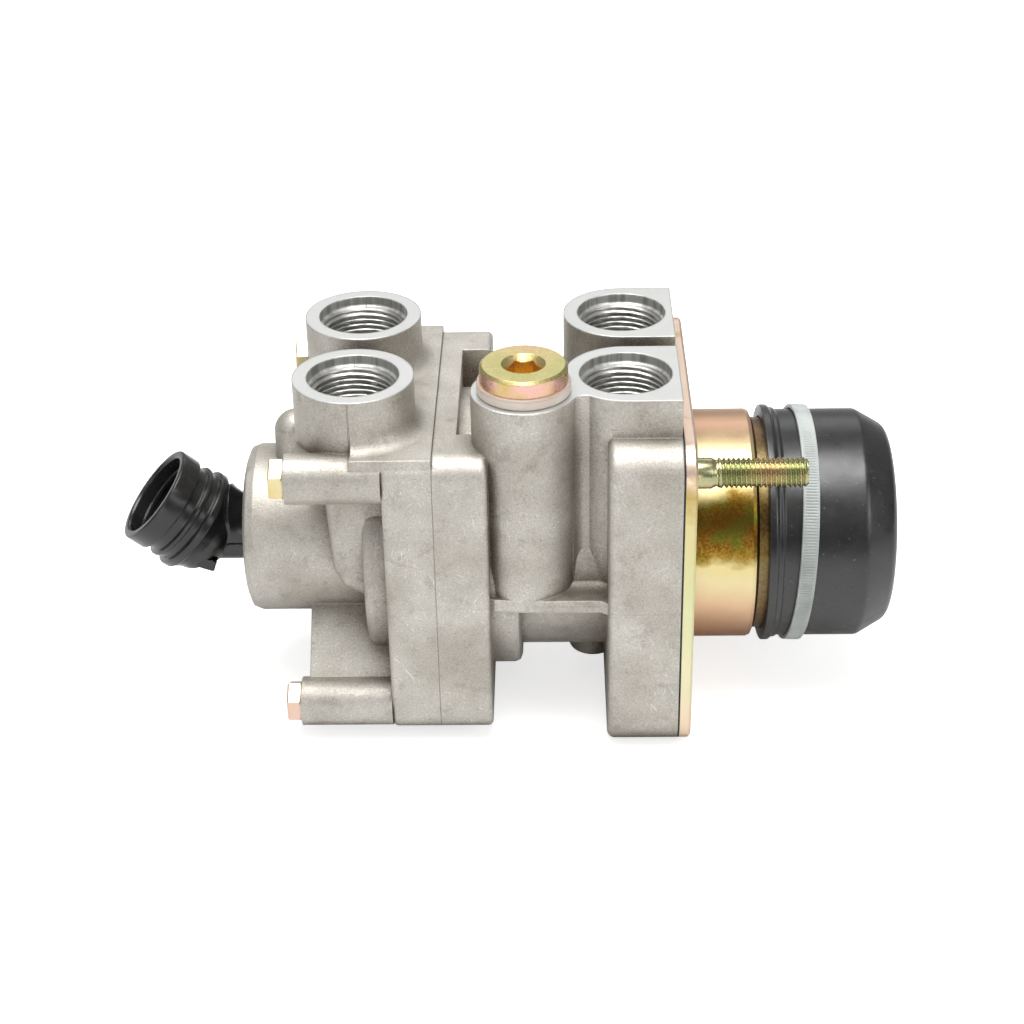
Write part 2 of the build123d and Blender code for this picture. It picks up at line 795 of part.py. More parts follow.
with BuildPart() as primary_piston:
    primary_ring_mid = piston_bore_r - ring_gap - ring_r
    primary_piston_mid = (piston_top + piston_bottom) / 2
    turned(
        (piston_top, 0),
        (piston_top, piston_bore_r - slide_gap),
        (piston_bottom, piston_bore_r - slide_gap),
        (piston_bottom, stem_r),
        (upper_seat_x + exhaust_gap, stem_r),
        (upper_seat_x + exhaust_gap, 0),
    )
    groove(
        primary_piston_mid, piston_bore_r + 1, primary_ring_mid - ring_r - ring_gap, ring_r + ring_gap
    )
    with BuildSketch(Plane.YZ.offset(piston_top)):
        Circle(piston_bore_r - 11)
    extrude(amount=-3, taper=20, mode=Mode.SUBTRACT)

with BuildPart() as primary_piston_ring:
    o_ring(primary_piston_mid, primary_ring_mid, ring_r)

with BuildPart() as primary_return_spring:
    coil(piston_floor_x, piston_bottom, piston_bore_r - return_inset, fine_wire_r, 3)

# Upper inlet valve, its spring, guide, ring and retaining ring
with BuildPart() as upper_inlet_valve:
    turned(
        (upper_valve_x, valve_hole_r),
        (upper_valve_x, valve_r - 0.6),
        (upper_valve_x - 0.6, valve_r),
        (upper_valve_x - valve_thick, valve_r),
        (upper_valve_x - valve_thick, valve_stem_r),
        (upper_valve_x - valve_thick - upper_valve_stem, valve_stem_r),
        (upper_valve_x - valve_thick - upper_valve_stem, valve_hole_r),
    )

with BuildPart() as upper_valve_spring:
    coil(upper_guide_x, upper_valve_x - valve_thick, guide_boss_r + valve_spring_rise, fine_wire_r, 2)

guide_ring_mid = valve_bore_r - ring_gap - small_ring_r
guide_ring_floor = guide_ring_mid - small_ring_r - ring_gap
with BuildPart() as upper_valve_guide:
    turned(
        (upper_guide_x + guide_boss, valve_stem_r + slide_gap),
        (upper_guide_x + guide_boss, guide_boss_r),
        (upper_guide_x, guide_boss_r),
        (upper_guide_x, valve_bore_r - slide_gap),
        (upper_guide_end, valve_bore_r - slide_gap),
        (upper_guide_end, valve_stem_r + slide_gap),
    )
    upper_guide_mid = (upper_guide_x + upper_guide_end) / 2
    groove(upper_guide_mid, valve_bore_r + 1, guide_ring_floor, small_ring_r + ring_gap)

with BuildPart() as upper_guide_ring:
    o_ring(upper_guide_mid, guide_ring_mid, small_ring_r)

with BuildPart() as upper_guide_clip:
    upper_clip_x = upper_guide_end - 0.1
    circlip(
        upper_clip_x - clip_thick,
        upper_clip_x,
        valve_bore_r - clip_width,
        valve_bore_r + clip_depth,
        small_clip_gap,
    )

# Relay piston with its rings and its return spring
with BuildPart() as relay_piston:
    relay_ring_mid = relay_bore_r - ring_gap - ring_r
    relay_piston_mid = (relay_top + relay_bottom) / 2
    relay_neck_end = upper_guide_end + relay_neck
    turned(
        (relay_neck_end, valve_hole_r - 0.5),
        (relay_neck_end, valve_stem_r),
        (relay_top, valve_stem_r),
        (relay_top, relay_bore_r - slide_gap),
        (relay_bottom, relay_bore_r - slide_gap),
        (relay_bottom, relay_bore_r - 4),
        (relay_bottom + 3, relay_bore_r - 5),
        (relay_bottom + 3, relay_bore_r - 13),
        (relay_bottom, relay_bore_r - 14),
        (relay_bottom, stem_r),
        (lower_seat_x + exhaust_gap, stem_r),
        (lower_seat_x + exhaust_gap, valve_hole_r - 0.5),
    )
    groove(relay_piston_mid + 1, relay_bore_r + 1, relay_ring_mid - ring_r - ring_gap, ring_r + ring_gap)
    neck_ring_x = relay_neck_end - 1.8
    neck_ring_mid = valve_stem_r + slide_gap - ring_gap - small_ring_r
    groove(neck_ring_x, valve_stem_r + 1, neck_ring_mid - small_ring_r - ring_gap, small_ring_r + ring_gap)

with BuildPart() as relay_piston_rings:
    o_ring(relay_piston_mid + 1, relay_ring_mid, ring_r)
    o_ring(neck_ring_x, neck_ring_mid, small_ring_r)

with BuildPart() as relay_return_spring:
    coil(delivery_step_x, relay_bottom, stem_r + relay_spring_rise, relay_wire_r, 5)

# Lower inlet valve, its spring, guide, ring and retaining ring
with BuildPart() as lower_inlet_valve:
    turned(
        (lower_valve_x, valve_hole_r),
        (lower_valve_x, valve_r - 0.6),
        (lower_valve_x - 0.6, valve_r),
        (lower_valve_x - valve_thick, valve_r),
        (lower_valve_x - valve_thick, valve_stem_r),
        (lower_valve_x - valve_thick - lower_valve_stem, valve_stem_r),
        (lower_valve_x - valve_thick - lower_valve_stem, valve_hole_r),
    )

with BuildPart() as lower_valve_spring:
    coil(lower_guide_x, lower_valve_x - valve_thick, guide_boss_r + valve_spring_rise, fine_wire_r, 2)

with BuildPart() as lower_valve_guide:
    turned(
        (lower_guide_x + guide_boss, valve_stem_r + slide_gap),
        (lower_guide_x + guide_boss, guide_boss_r),
        (lower_guide_x, guide_boss_r),
        (lower_guide_x, valve_bore_r - slide_gap),
        (lower_guide_end, valve_bore_r - slide_gap),
        (lower_guide_end, elbow_neck_r),
        (lower_guide_end + elbow_spigot + 0.3, elbow_neck_r),
        (lower_guide_end + elbow_spigot + 0.3, valve_stem_r + slide_gap),
    )
    lower_guide_mid = (lower_guide_x + lower_guide_end) / 2
    groove(lower_guide_mid, valve_bore_r + 1, guide_ring_floor, small_ring_r + ring_gap)

with BuildPart() as lower_guide_ring:
    o_ring(lower_guide_mid, guide_ring_mid, small_ring_r)

with BuildPart() as lower_guide_clip:
    lower_clip_x = lower_guide_end - 0.1
    circlip(
        lower_clip_x - clip_thick,
        lower_clip_x,
        valve_bore_r - clip_width,
        valve_bore_r + clip_depth,
        small_clip_gap,
    )

# Exhaust elbow, turned about its two axes, and its ring
elbow_lean = math.radians(elbow_angle)
elbow_roll = math.radians(elbow_turn)
mouth_way = Vector(
    -math.cos(elbow_lean),
    -math.sin(elbow_lean) * math.sin(elbow_roll),
    math.sin(elbow_lean) * math.cos(elbow_roll),
)
elbow_bend = Vector(elbow_bend_x, 0, 0)
elbow_side = mouth_way.cross(Vector(1, 0, 0)).normalized()
elbow_plane = Plane(origin=elbow_bend, x_dir=mouth_way, z_dir=elbow_side)
elbow_axis = Axis(elbow_bend, mouth_way)
spigot_end = lower_guide_end + elbow_spigot
spigot_mid = lower_guide_end + elbow_spigot / 2
elbow_ring_mid = elbow_neck_r - ring_gap - small_ring_r
with BuildPart() as exhaust_elbow:
    turned(
        (elbow_bend_x, 0),
        (elbow_bend_x, elbow_neck_r - slide_gap),
        (spigot_end, elbow_neck_r - slide_gap),
        (spigot_end, 0),
    )
    with BuildSketch(elbow_plane):
        with BuildLine():
            Polyline(
                (-7, 0),
                (-7, 8),
                (-2.6, 12.4),
                (0.3, 12.9),
                (2.9, elbow_ring_r),
                (5.3, elbow_ring_r),
                (5.5, 13.5),
                (7.4, 13.5),
                (7.6, elbow_mouth_r),
                (8.6, elbow_mouth_r),
                (8.8, 13),
                (elbow_reach - 5.8, 13),
                (elbow_reach - 5.6, elbow_mouth_r),
                (elbow_reach - 0.4, elbow_mouth_r),
                (elbow_reach, elbow_mouth_r - 0.4),
                (elbow_reach, 0),
                close=True,
            )
        make_face()
    revolve(axis=elbow_axis)

    # hollow web in the corner between the neck and the mouth, then the latch and the ledge at the front
    with BuildSketch(Plane(origin=elbow_bend, x_dir=(1, 0, 0), z_dir=elbow_side)):
        with BuildLine():
            Polyline(
                (13.4, elbow_neck_r - 0.6),
                (11.7, elbow_neck_r + 0.4),
                (10.3, elbow_neck_r + 1.3),
                (9.0, elbow_neck_r + 2.7),
                (7.9, elbow_neck_r + 4.3),
                (6.0, elbow_neck_r + 3.0),
                (5.0, elbow_neck_r - 1.5),
                close=True,
            )
        make_face()
    extrude(amount=elbow_web, both=True)
    with Locations(Location(latch_place, (0, latch_tilt, 0))):
        Box(*latch_size)
    with Locations(ledge_place):
        Box(*ledge_size)
    with BuildSketch(elbow_plane):
        with BuildLine():
            Polyline(
                (0, 0),
                (0, elbow_bore_r),
                (elbow_reach - elbow_mouth_depth - 2, elbow_bore_r),
                (elbow_reach - elbow_mouth_depth, elbow_mouth_hole_r - 1),
                (elbow_reach - elbow_mouth_depth, elbow_mouth_hole_r),
                (elbow_reach, elbow_mouth_hole_r),
                (elbow_reach, 0),
                close=True,
            )
        make_face()
    revolve(axis=elbow_axis, mode=Mode.SUBTRACT)
    turned(
        (elbow_bend_x, 0),
        (elbow_bend_x, elbow_bore_r),
        (spigot_end, elbow_bore_r),
        (spigot_end, 0),
        mode=Mode.SUBTRACT,
    )
    with Locations(elbow_bend):
        Sphere(elbow_bore_r, mode=Mode.SUBTRACT)
    groove(spigot_mid, elbow_neck_r + 1, elbow_ring_mid - small_ring_r - ring_gap, small_ring_r + ring_gap)

with BuildPart() as elbow_ring:
    o_ring(spigot_mid, elbow_ring_mid, small_ring_r)

nodes = {
    "upper_body": upper_body.part,
    "lower_body": lower_body.part,
    "body_seal": body_seal.part,
    "body_bolts": body_bolts.part,
    "blanking_plug": blanking_plug.part,
    "plug_washer": plug_washer.part,
    "mounting_plate": mounting_plate.part,
    "plate_gasket": plate_gasket.part,
    "mounting_studs": mounting_studs.part,
    "guide_tube": guide_tube.part,
    "plunger_bush": plunger_bush.part,
    "bush_clip": bush_clip.part,
    "plunger": plunger.part,
    "spring_seat": spring_seat.part,
    "graduating_spring": graduating_spring.part,
    "dust_boot": dust_boot.part,
    "boot_tie": tie_solid,
    "primary_clip": primary_clip.part,
    "primary_piston": primary_piston.part,
    "primary_piston_ring": primary_piston_ring.part,
    "primary_return_spring": primary_return_spring.part,
    "upper_inlet_valve": upper_inlet_valve.part,
    "upper_valve_spring": upper_valve_spring.part,
    "upper_valve_guide": upper_valve_guide.part,
    "upper_guide_ring": upper_guide_ring.part,
    "upper_guide_clip": upper_guide_clip.part,
    "relay_piston": relay_piston.part,
    "relay_piston_rings": relay_piston_rings.part,
    "relay_return_spring": relay_return_spring.part,
    "lower_inlet_valve": lower_inlet_valve.part,
    "lower_valve_spring": lower_valve_spring.part,
    "lower_valve_guide": lower_valve_guide.part,
    "lower_guide_ring": lower_guide_ring.part,
    "lower_guide_clip": lower_guide_clip.part,
    "exhaust_elbow": exhaust_elbow.part,
    "elbow_ring": elbow_ring.part,
}
for name, solid in nodes.items():
    solid.label = name
    export_step(solid, f"parts/{name}.step")
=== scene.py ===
import math
from functools import partial
import bmesh
import bpy
import numpy as np
from mathutils import Matrix, Vector


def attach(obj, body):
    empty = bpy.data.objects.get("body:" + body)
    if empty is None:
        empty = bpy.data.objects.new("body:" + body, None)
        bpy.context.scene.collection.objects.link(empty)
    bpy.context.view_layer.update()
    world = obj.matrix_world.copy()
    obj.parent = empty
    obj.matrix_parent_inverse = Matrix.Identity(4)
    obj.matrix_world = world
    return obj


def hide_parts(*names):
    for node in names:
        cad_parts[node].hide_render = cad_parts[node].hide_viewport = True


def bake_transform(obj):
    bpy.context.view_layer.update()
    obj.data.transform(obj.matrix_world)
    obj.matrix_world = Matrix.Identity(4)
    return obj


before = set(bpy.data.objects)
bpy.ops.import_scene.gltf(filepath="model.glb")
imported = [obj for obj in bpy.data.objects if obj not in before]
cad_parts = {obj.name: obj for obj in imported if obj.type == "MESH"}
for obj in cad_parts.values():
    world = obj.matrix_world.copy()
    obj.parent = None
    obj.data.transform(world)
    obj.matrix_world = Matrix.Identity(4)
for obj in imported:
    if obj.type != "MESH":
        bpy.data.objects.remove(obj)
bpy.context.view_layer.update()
mm = 0.001
print("frame loaded")


# small helpers
def linearColour(hexText):
    # sRGB hex to linear light
    parts = [int(hexText[i:i + 2], 16) / 255 for i in (0, 2, 4)]
    lin = [p / 12.92 if p <= 0.04045 else ((p + 0.055) / 1.055) ** 2.4 for p in parts]
    return (*lin, 1.0)


def connect(tree, node, inputs):
    # inputs by name or in order; each is another node's output, a hex colour or a plain value
    for key, value in inputs.items() if isinstance(inputs, dict) else enumerate(inputs):
        if isinstance(value, bpy.types.NodeSocket):
            tree.links.new(value, node.inputs[key])
        else:
            node.inputs[key].default_value = linearColour(value) if isinstance(value, str) else value


def addNode(tree, kind, inputs=(), out=0, stops=(), **settings):
    # one node with its settings and links; returns the output asked for, or the node where out is None
    node = tree.nodes.new("ShaderNode" + kind)
    for key, value in settings.items():
        setattr(node, key, value)
    connect(tree, node, inputs)
    if stops:
        while len(node.color_ramp.elements) < len(stops):
            node.color_ramp.elements.new(0.5)
        for element, (at, colour) in zip(node.color_ramp.elements, stops):
            element.position = at
            element.color = linearColour(colour) if isinstance(colour, str) else (colour, colour, colour, 1)
    return node if out is None else node.outputs[out]


def newMaterial(name):
    # a principled shader with its object coordinates and a ready addNode
    material = bpy.data.materials.new(name)
    material.use_nodes = True
    material.node_tree.nodes.clear()
    add = partial(addNode, material.node_tree)
    shader = add("BsdfPrincipled", out=None)
    add("OutputMaterial", [shader.outputs[0]], out=None)
    return material, shader, add("TexCoord", out="Object"), add


def blobs(place, sizeMm, detail=2, rough=0.5):
    # inputs of a noise whose blobs measure about sizeMm
    return {"Vector": place, "Scale": 1000 / sizeMm, "Detail": detail, "Roughness": rough}


def layered(add, tone, layers):
    # each layer (share, colour) laid over the tone so far
    for share, colour in layers:
        tone = add("Mix", {0: share, 6: tone, 7: colour}, 2, data_type="RGBA")
    return tone


def meshPiece(name, points, loopU=True, loopV=False):
    # grid of points (u, v, xyz) to a mesh; loops close the grid on itself
    nu, nv = points.shape[:2]
    index = np.arange(nu * nv).reshape(nu, nv)
    if loopU:
        index = np.concatenate([index, index[:1]], 0)
    if loopV:
        index = np.concatenate([index, index[:, :1]], 1)
    a, b, c, d = index[:-1, :-1], index[1:, :-1], index[1:, 1:], index[:-1, 1:]
    quads = np.stack([a, b, c, d], -1).reshape(-1, 4)
    mesh = bpy.data.meshes.new(name)
    mesh.from_pydata((points.reshape(-1, 3) * mm).tolist(), [], quads.tolist())
    mesh.polygons.foreach_set("use_smooth", np.full(len(mesh.polygons), True))
    mesh.update()
    obj = bpy.data.objects.new(name, mesh)
    bpy.context.scene.collection.objects.link(obj)
    return obj


def roundedProfile(points, steps=5):
    # each corner (x, r, radius) becomes an arc that is tangent to its two sides, as a quadratic curve
    pts = np.array([p[:2] for p in points], float)
    rad = np.array([p[2] for p in points], float)
    toA, toB = np.roll(pts, 1, 0) - pts, np.roll(pts, -1, 0) - pts
    la, lb = np.linalg.norm(toA, axis=1), np.linalg.norm(toB, axis=1)
    cut = np.minimum(rad, 0.48 * np.minimum(la, lb))
    a = pts + toA / la[:, None] * cut[:, None]
    b = pts + toB / lb[:, None] * cut[:, None]
    t = np.linspace(0, 1, steps)[None, :, None]
    curve = (1 - t) ** 2 * a[:, None] + 2 * t * (1 - t) * pts[:, None] + t ** 2 * b[:, None]
    rows = [curve[i] if cut[i] > 1e-6 else pts[i:i + 1] for i in range(len(pts))]
    return np.concatenate(rows, 0)


def lathe(name, profile, origin=(0, 0, 0), axis=(1, 0, 0), around=128, wave=None):
    # closed profile (x along the axis, r from it), turned:
    # p = origin + x * axis + r * (cos t * side + sin t * up), where wave may change r
    axis = np.array(axis, float) / np.linalg.norm(axis)
    side = np.cross(axis, (0, 0, 1.0))
    side /= np.linalg.norm(side)
    up = np.cross(axis, side)
    t = np.linspace(0, 2 * np.pi, around, endpoint=False)[:, None, None]
    x, r = profile[None, :, 0, None], profile[None, :, 1, None]
    if wave is not None:
        r = r + wave(t, x, r)
    points = np.array(origin) + x * axis + r * (np.cos(t) * side + np.sin(t) * up)
    return meshPiece(name, points, True, True)


def roundedBox(name, size, turn, place, middle=(0, 0, 0), power=7):
    # |x/a|^n + |y/b|^n + |z/c|^n = 1 about the middle, turned, then moved to its place
    u = np.linspace(-np.pi, np.pi, 65)[:-1, None]
    v = np.linspace(-np.pi / 2, np.pi / 2, 33)[None, :]
    way = np.stack([np.cos(v) * np.cos(u), np.cos(v) * np.sin(u), np.sin(v) + 0 * u], -1)
    unit = way / (np.abs(way) ** power).sum(-1, keepdims=True) ** (1 / power)
    points = unit * np.array(size) / 2 + np.array(middle)
    return meshPiece(name, points @ np.array(turn).T + np.array(place), True, False)


def outwards(obj, creaseDegrees=None):
    # merged doubles, faces turned outwards, and crisp edges where faces meet at more than the crease
    work = bmesh.new()
    work.from_mesh(obj.data)
    bmesh.ops.remove_doubles(work, verts=work.verts, dist=1e-6)
    bmesh.ops.recalc_face_normals(work, faces=work.faces)
    work.to_mesh(obj.data)
    work.free()
    if creaseDegrees:
        obj.data.set_sharp_from_angle(angle=math.radians(creaseDegrees))
    return obj


def dress(obj, material, body=None, stands=()):
    # material, the CAD body it rides on and the CAD nodes it stands for
    obj.data.materials.clear()
    obj.data.materials.append(material)
    if body:
        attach(obj, body)
    if stands:
        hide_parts(*stands)


def paint(material, *nodes):
    # a material on CAD nodes that stay as they are
    for name in nodes:
        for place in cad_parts[name].material_slots:
            place.material = material


# cast aluminium
casting = {
    # colours: light and dark clouds, grit, and what lies over them
    "clouds": [(0.34, "a49e94"), (0.52, "b7b2a9"), (0.68, "c5c1b9")],
    "grit": [(0.32, "857f75"), (0.5, "b9b6af"), (0.66, "e0ded9")],
    # the warm brown corner colour is dirt together with painted shade in corners and recesses
    "stain": "7e766a", "pit": "6d6860", "worn": "ece9e3", "dirtAndShade": "594b3a", "joint": "3b3834",
    "mould": "6f6a62", "milled": "ced0cf", "cutterRing": "a9a8a4", "boreStreak": "8b8a86",
    # how strongly each one shows
    "gritShare": 0.24, "stainShare": 0.46, "pitShare": 0.4, "edgeShare": 0.35, "jointShare": 0.5,
    "mouldShare": 0.35, "ribShare": 0.25, "ringShare": 0.06, "milledSoil": 0.2,
    # sizes in mm of what varies the surface
    # the corner reach in mm is how far from nearby surfaces the painted corner shade spreads
    "cloudMm": 17, "gritMm": 0.5, "stainMm": 6, "pitMm": 0.7, "patchMm": 17, "lumpMm": 1.2, "grainMm": 0.4,
    "edgeMm": 0.7, "dirtAndShadeMm": 11, "ringMm": 0.42, "streakMm": (2.2, 2.2, 60),
    # scratches: turn, length and width in mm, and the noise level where they start
    "marks": [((0, 0.9, 0), 6.5, 0.24, 0.69), ((0, -0.5, 0.3), 4.5, 0.22, 0.70),
              ((0.4, 1.6, 0), 7.5, 0.24, 0.70)],
    # places in mm: port faces and bores, the joint, and the thin lines that the mould leaves
    "portFace": 55.5, "portY": 18.55, "upperPort": -17.4, "lowerPort": -87.4, "boreR": 12.0, "boreFloor": 38,
    "jointX": -66.9, "bossLineX": -87.7, "bossLineZ": (40.5, 55.2), "ribLineZ": -1.2, "ribFront": -40.6,
    # half widths of those lines, in mm
    "jointHalf": 0.07, "bossHalf": 0.14, "ribHalf": 0.16,
    "metallic": 0.75, "milledRough": 0.36,
}


def scratches(add, place, turn, lengthMm, widthMm, least, bendMm=9, swayMm=7):
    # short marks: noise stretched along one way and cut above a level, bent by a slow drift of the place
    drift = add("TexNoise", blobs(place, bendMm, 0), out="Color")
    sway = add("VectorMath", {0: drift, "Scale": swayMm * mm}, operation="SCALE")
    bent = add("VectorMath", [place, sway], operation="ADD")
    scale = (lengthMm * mm, widthMm * mm, widthMm * mm)
    along = add("Mapping", {"Vector": bent, "Rotation": turn, "Scale": scale}, vector_type="TEXTURE")
    field = add("TexNoise", {"Vector": along, "Scale": 1, "Detail": 1, "Roughness": 0.4})
    return add("ValToRGB", [field], stops=[(least, 0.0), (least + 0.04, 1.0)])


def band(add, value, middleMm, halfMm):
    # 1 within half of the middle, falling to 0 at twice that
    off = add("Math", [value, middleMm * mm], operation="SUBTRACT")
    share = add("Math", [add("Math", [off], operation="ABSOLUTE"), halfMm * mm], operation="DIVIDE")
    return add("Math", [2.0, share], operation="SUBTRACT", use_clamp=True)


def wornEdge(add, radiusMm):
    # rounded normal, and a mask where it leaves the flat face: the edges that handling brightens
    rounded = add("Bevel", {"Radius": radiusMm * mm}, samples=6)
    match = add("VectorMath", [rounded, add("NewGeometry", out="Normal")], "Value", operation="DOT_PRODUCT")
    return rounded, add("ValToRGB", [match], stops=[(0.86, 1.0), (0.99, 0.0)])


def distanceTo(add, x, y, atX, atY):
    # distance from an upright line, its place in mm
    dx = add("Math", [x, atX * mm], operation="SUBTRACT")
    dy = add("Math", [y, atY * mm], operation="SUBTRACT")
    return add("VectorMath", [add("CombineXYZ", [dx, dy])], "Value", operation="LENGTH")


def castAluminium(name, portX):
    # sand blasted pressure casting: matt, warm grey, speckled, with stains, scuffs and milled port faces
    material, shader, place, add = newMaterial(name)
    c = casting
    x, y, z = add("SeparateXYZ", [place], out=None).outputs
    clouds = add("TexNoise", blobs(place, c["cloudMm"], 5, 0.6))
    speck = add("TexNoise", blobs(place, c["gritMm"], 3, 0.7))
    stains = add("TexNoise", blobs(place, c["stainMm"], 6, 0.72))
    pits = add("TexNoise", blobs(place, c["pitMm"], 1, 0.4))
    patches = add("TexNoise", blobs(place, c["patchMm"], 2))
    # scuffs show in patches, and on the edges
    marks = 0.0
    for turn, length, width, least in c["marks"]:
        mark = scratches(add, place, turn, length, width, least)
        marks = add("Math", [marks, mark], operation="MAXIMUM")
    patch = add("ValToRGB", [patches], stops=[(0.42, 0.08), (0.60, 0.72)])
    rounded, edges = wornEdge(add, c["edgeMm"])
    worn = add("Math", [edges, c["edgeShare"]], operation="MULTIPLY")
    scuff = add("Math", [add("Math", [marks, patch], operation="MULTIPLY"), worn], operation="MAXIMUM")
    # warm dirt together with painted shade in the corners: darker and browner where ambient occlusion finds
    # nearby surfaces
    corners = add("AmbientOcclusion", {"Distance": c["dirtAndShadeMm"] * mm}, "AO", samples=6)
    dirtAndShade = add("Math", [add("ValToRGB", [corners], stops=[(0.34, 1.0), (0.84, 0.0)]),
                        add("ValToRGB", [speck], stops=[(0.3, 0.92), (0.7, 0.55)])], operation="MULTIPLY")
    # the joint between the castings, and the thin lines that the mould leaves
    joint = add("Math", [band(add, x, c["jointX"], c["jointHalf"]), c["jointShare"]], operation="MULTIPLY")
    lowest, highest = c["bossLineZ"]
    height = add("Math", [add("Math", [z, highest * mm], operation="LESS_THAN"),
                          add("Math", [z, lowest * mm], operation="GREATER_THAN")], operation="MULTIPLY")
    bossLine = add("Math", [band(add, x, c["bossLineX"], c["bossHalf"]), height], operation="MULTIPLY")
    front = add("Math", [y, c["ribFront"] * mm], operation="LESS_THAN")
    ribLine = add("Math", [band(add, z, c["ribLineZ"], c["ribHalf"]), front], operation="MULTIPLY")
    faint = add("Math", [ribLine, c["ribShare"]], operation="MULTIPLY")
    mouldLine = add("Math", [bossLine, faint], operation="MAXIMUM")
    tone = layered(add, add("ValToRGB", [clouds], stops=c["clouds"]), [
        (c["gritShare"], add("ValToRGB", [speck], stops=c["grit"])),
        (add("ValToRGB", [stains], stops=[(0.54, 0.0), (0.70, c["stainShare"])]), c["stain"]),
        (add("ValToRGB", [pits], stops=[(0.70, 0.0), (0.76, c["pitShare"])]), c["pit"]),
        (scuff, c["worn"]), (dirtAndShade, c["dirtAndShade"]), (joint, c["joint"]),
        (add("Math", [mouldLine, c["mouldShare"]], operation="MULTIPLY"), c["mould"])])
    # milled: the port faces, with rings left by the cutter, and the bores, with streaks down their walls
    reach = distanceTo(add, x, add("Math", [y], operation="ABSOLUTE"), portX, c["portY"])
    inside = add("Math", [add("Math", [reach, c["boreR"] * mm], operation="LESS_THAN"),
                          add("Math", [z, c["boreFloor"] * mm], operation="GREATER_THAN")],
                 operation="MULTIPLY")
    face = add("Math", [z, (c["portFace"] - 0.05) * mm], operation="GREATER_THAN")
    milled = add("Math", [face, inside], operation="MAXIMUM")
    turns = add("Math", [reach, 2 * math.pi / (c["ringMm"] * mm)], operation="MULTIPLY")
    rings = add("Math", [add("Math", [turns], operation="SINE"), c["ringShare"]], operation="MULTIPLY")
    stretch = tuple(size * mm for size in c["streakMm"])
    tall = add("Mapping", {"Vector": place, "Scale": stretch}, vector_type="TEXTURE")
    streak = add("TexNoise", {"Vector": tall, "Scale": 1, "Detail": 3, "Roughness": 0.6})
    streaks = add("ValToRGB", [streak], stops=[(0.42, 0.7), (0.56, 0.0)])
    wall = add("Math", [inside, streaks], operation="MULTIPLY")
    bright = layered(add, c["milled"], [
        (rings, c["cutterRing"]), (wall, c["boreStreak"]), (c["milledSoil"], tone)])
    # bumps: lumps and grains on what was cast, and the raised mould line
    matt = add("ValToRGB", [speck], stops=[(0.3, 0.56), (0.7, 0.46)])
    bumpy = add("Math", [add("Math", [1.0, milled], operation="SUBTRACT"), 0.5], operation="MULTIPLY")
    lumps = add("TexNoise", blobs(place, c["lumpMm"], 5, 0.7))
    grains = add("TexNoise", blobs(place, c["grainMm"], 2, 0.6))
    normal = rounded
    for height, strength, depthMm in ((lumps, bumpy, 0.2), (mouldLine, 0.8, 0.18), (grains, bumpy, 0.12)):
        normal = add("Bump", {"Height": height, "Strength": strength, "Distance": depthMm * mm,
                              "Normal": normal})
    connect(material.node_tree, shader, {
        "Base Color": layered(add, tone, [(milled, bright)]), "Metallic": c["metallic"], "Normal": normal,
        "Roughness": add("Mix", {0: milled, 2: matt, 3: c["milledRough"]})})
    return material


# yellow zinc, in four ways
studFinish = {"pink": "bfa787", "gold": "bcb38b", "green": "a5a97f", "brown": "6d5527", "tintMm": 14,
              "speckMm": 0.7, "speckShare": 0.12, "rough": 0.2, "edgeMm": 0.08}


def studZinc(name):
    # yellow passivated zinc on rolled threads: thin film colours drift from gold to pink and green
    material, shader, place, add = newMaterial(name)
    f = studFinish
    drift = add("TexNoise", blobs(place, f["tintMm"]))
    speck = add("TexNoise", blobs(place, f["speckMm"], 3, 0.7))
    film = [(0.32, f["pink"]), (0.46, f["gold"]), (0.58, f["green"]), (0.68, f["gold"])]
    share = add("ValToRGB", [speck], stops=[(0.5, 0.0), (0.75, f["speckShare"])])
    edge = add("Bevel", {"Radius": f["edgeMm"] * mm}, samples=6)
    height = add("TexNoise", blobs(place, 1.2, 3, 0.6))
    connect(material.node_tree, shader, {
        "Base Color": layered(add, add("ValToRGB", [drift], stops=film), [(share, f["brown"])]),
        "Metallic": 1.0,
        "Roughness": add("ValToRGB", [speck], stops=[(0.3, f["rough"]), (0.75, f["rough"] + 0.14)]),
        "Normal": add("Bump", {"Height": height, "Strength": 0.03, "Distance": 0.06 * mm, "Normal": edge})})
    return material


tube = {
    # film colours with painted light, by the angle round the tube, in half turns: 0 is the front, 0.5 the
    # top, -0.5 the bottom; the pale band high up is a painted highlight, the dark band above the front a
    # painted reflection of the dark room, and the colours below the front painted reflections of the floor
    "filmAndReflectionBands": [(-1.0, "c9a877"), (-0.36, "a87a5c"), (-0.22, "c99a78"), (-0.09, "dcb996"), (0.0, "dccda0"),
              (0.055, "d8c88e"), (0.08, "9a7e34"), (0.12, "7a5f27"), (0.17, "6c5522"), (0.22, "8f7430"),
              (0.27, "d6c896"), (0.38, "e2d0a0"), (0.48, "d8b092"), (1.0, "c9a877")],
    # the grainy band lies in the dark painted reflection of those and darkens it further; its two colours lie
    # in patches
    "grainBand": [(0.53, 0.0), (0.55, 1.0), (0.605, 1.0), (0.63, 0.0)], "grain": ("66400f", "4f5a1c"),
    "grease": [(0.35, "3c2f1e"), (0.65, "78613a")], "greaseFrom": 17.3, "greaseShare": 0.85,
    "driftMm": 13, "drift": 0.13, "speckMm": 0.75, "grainMm": 7,
}


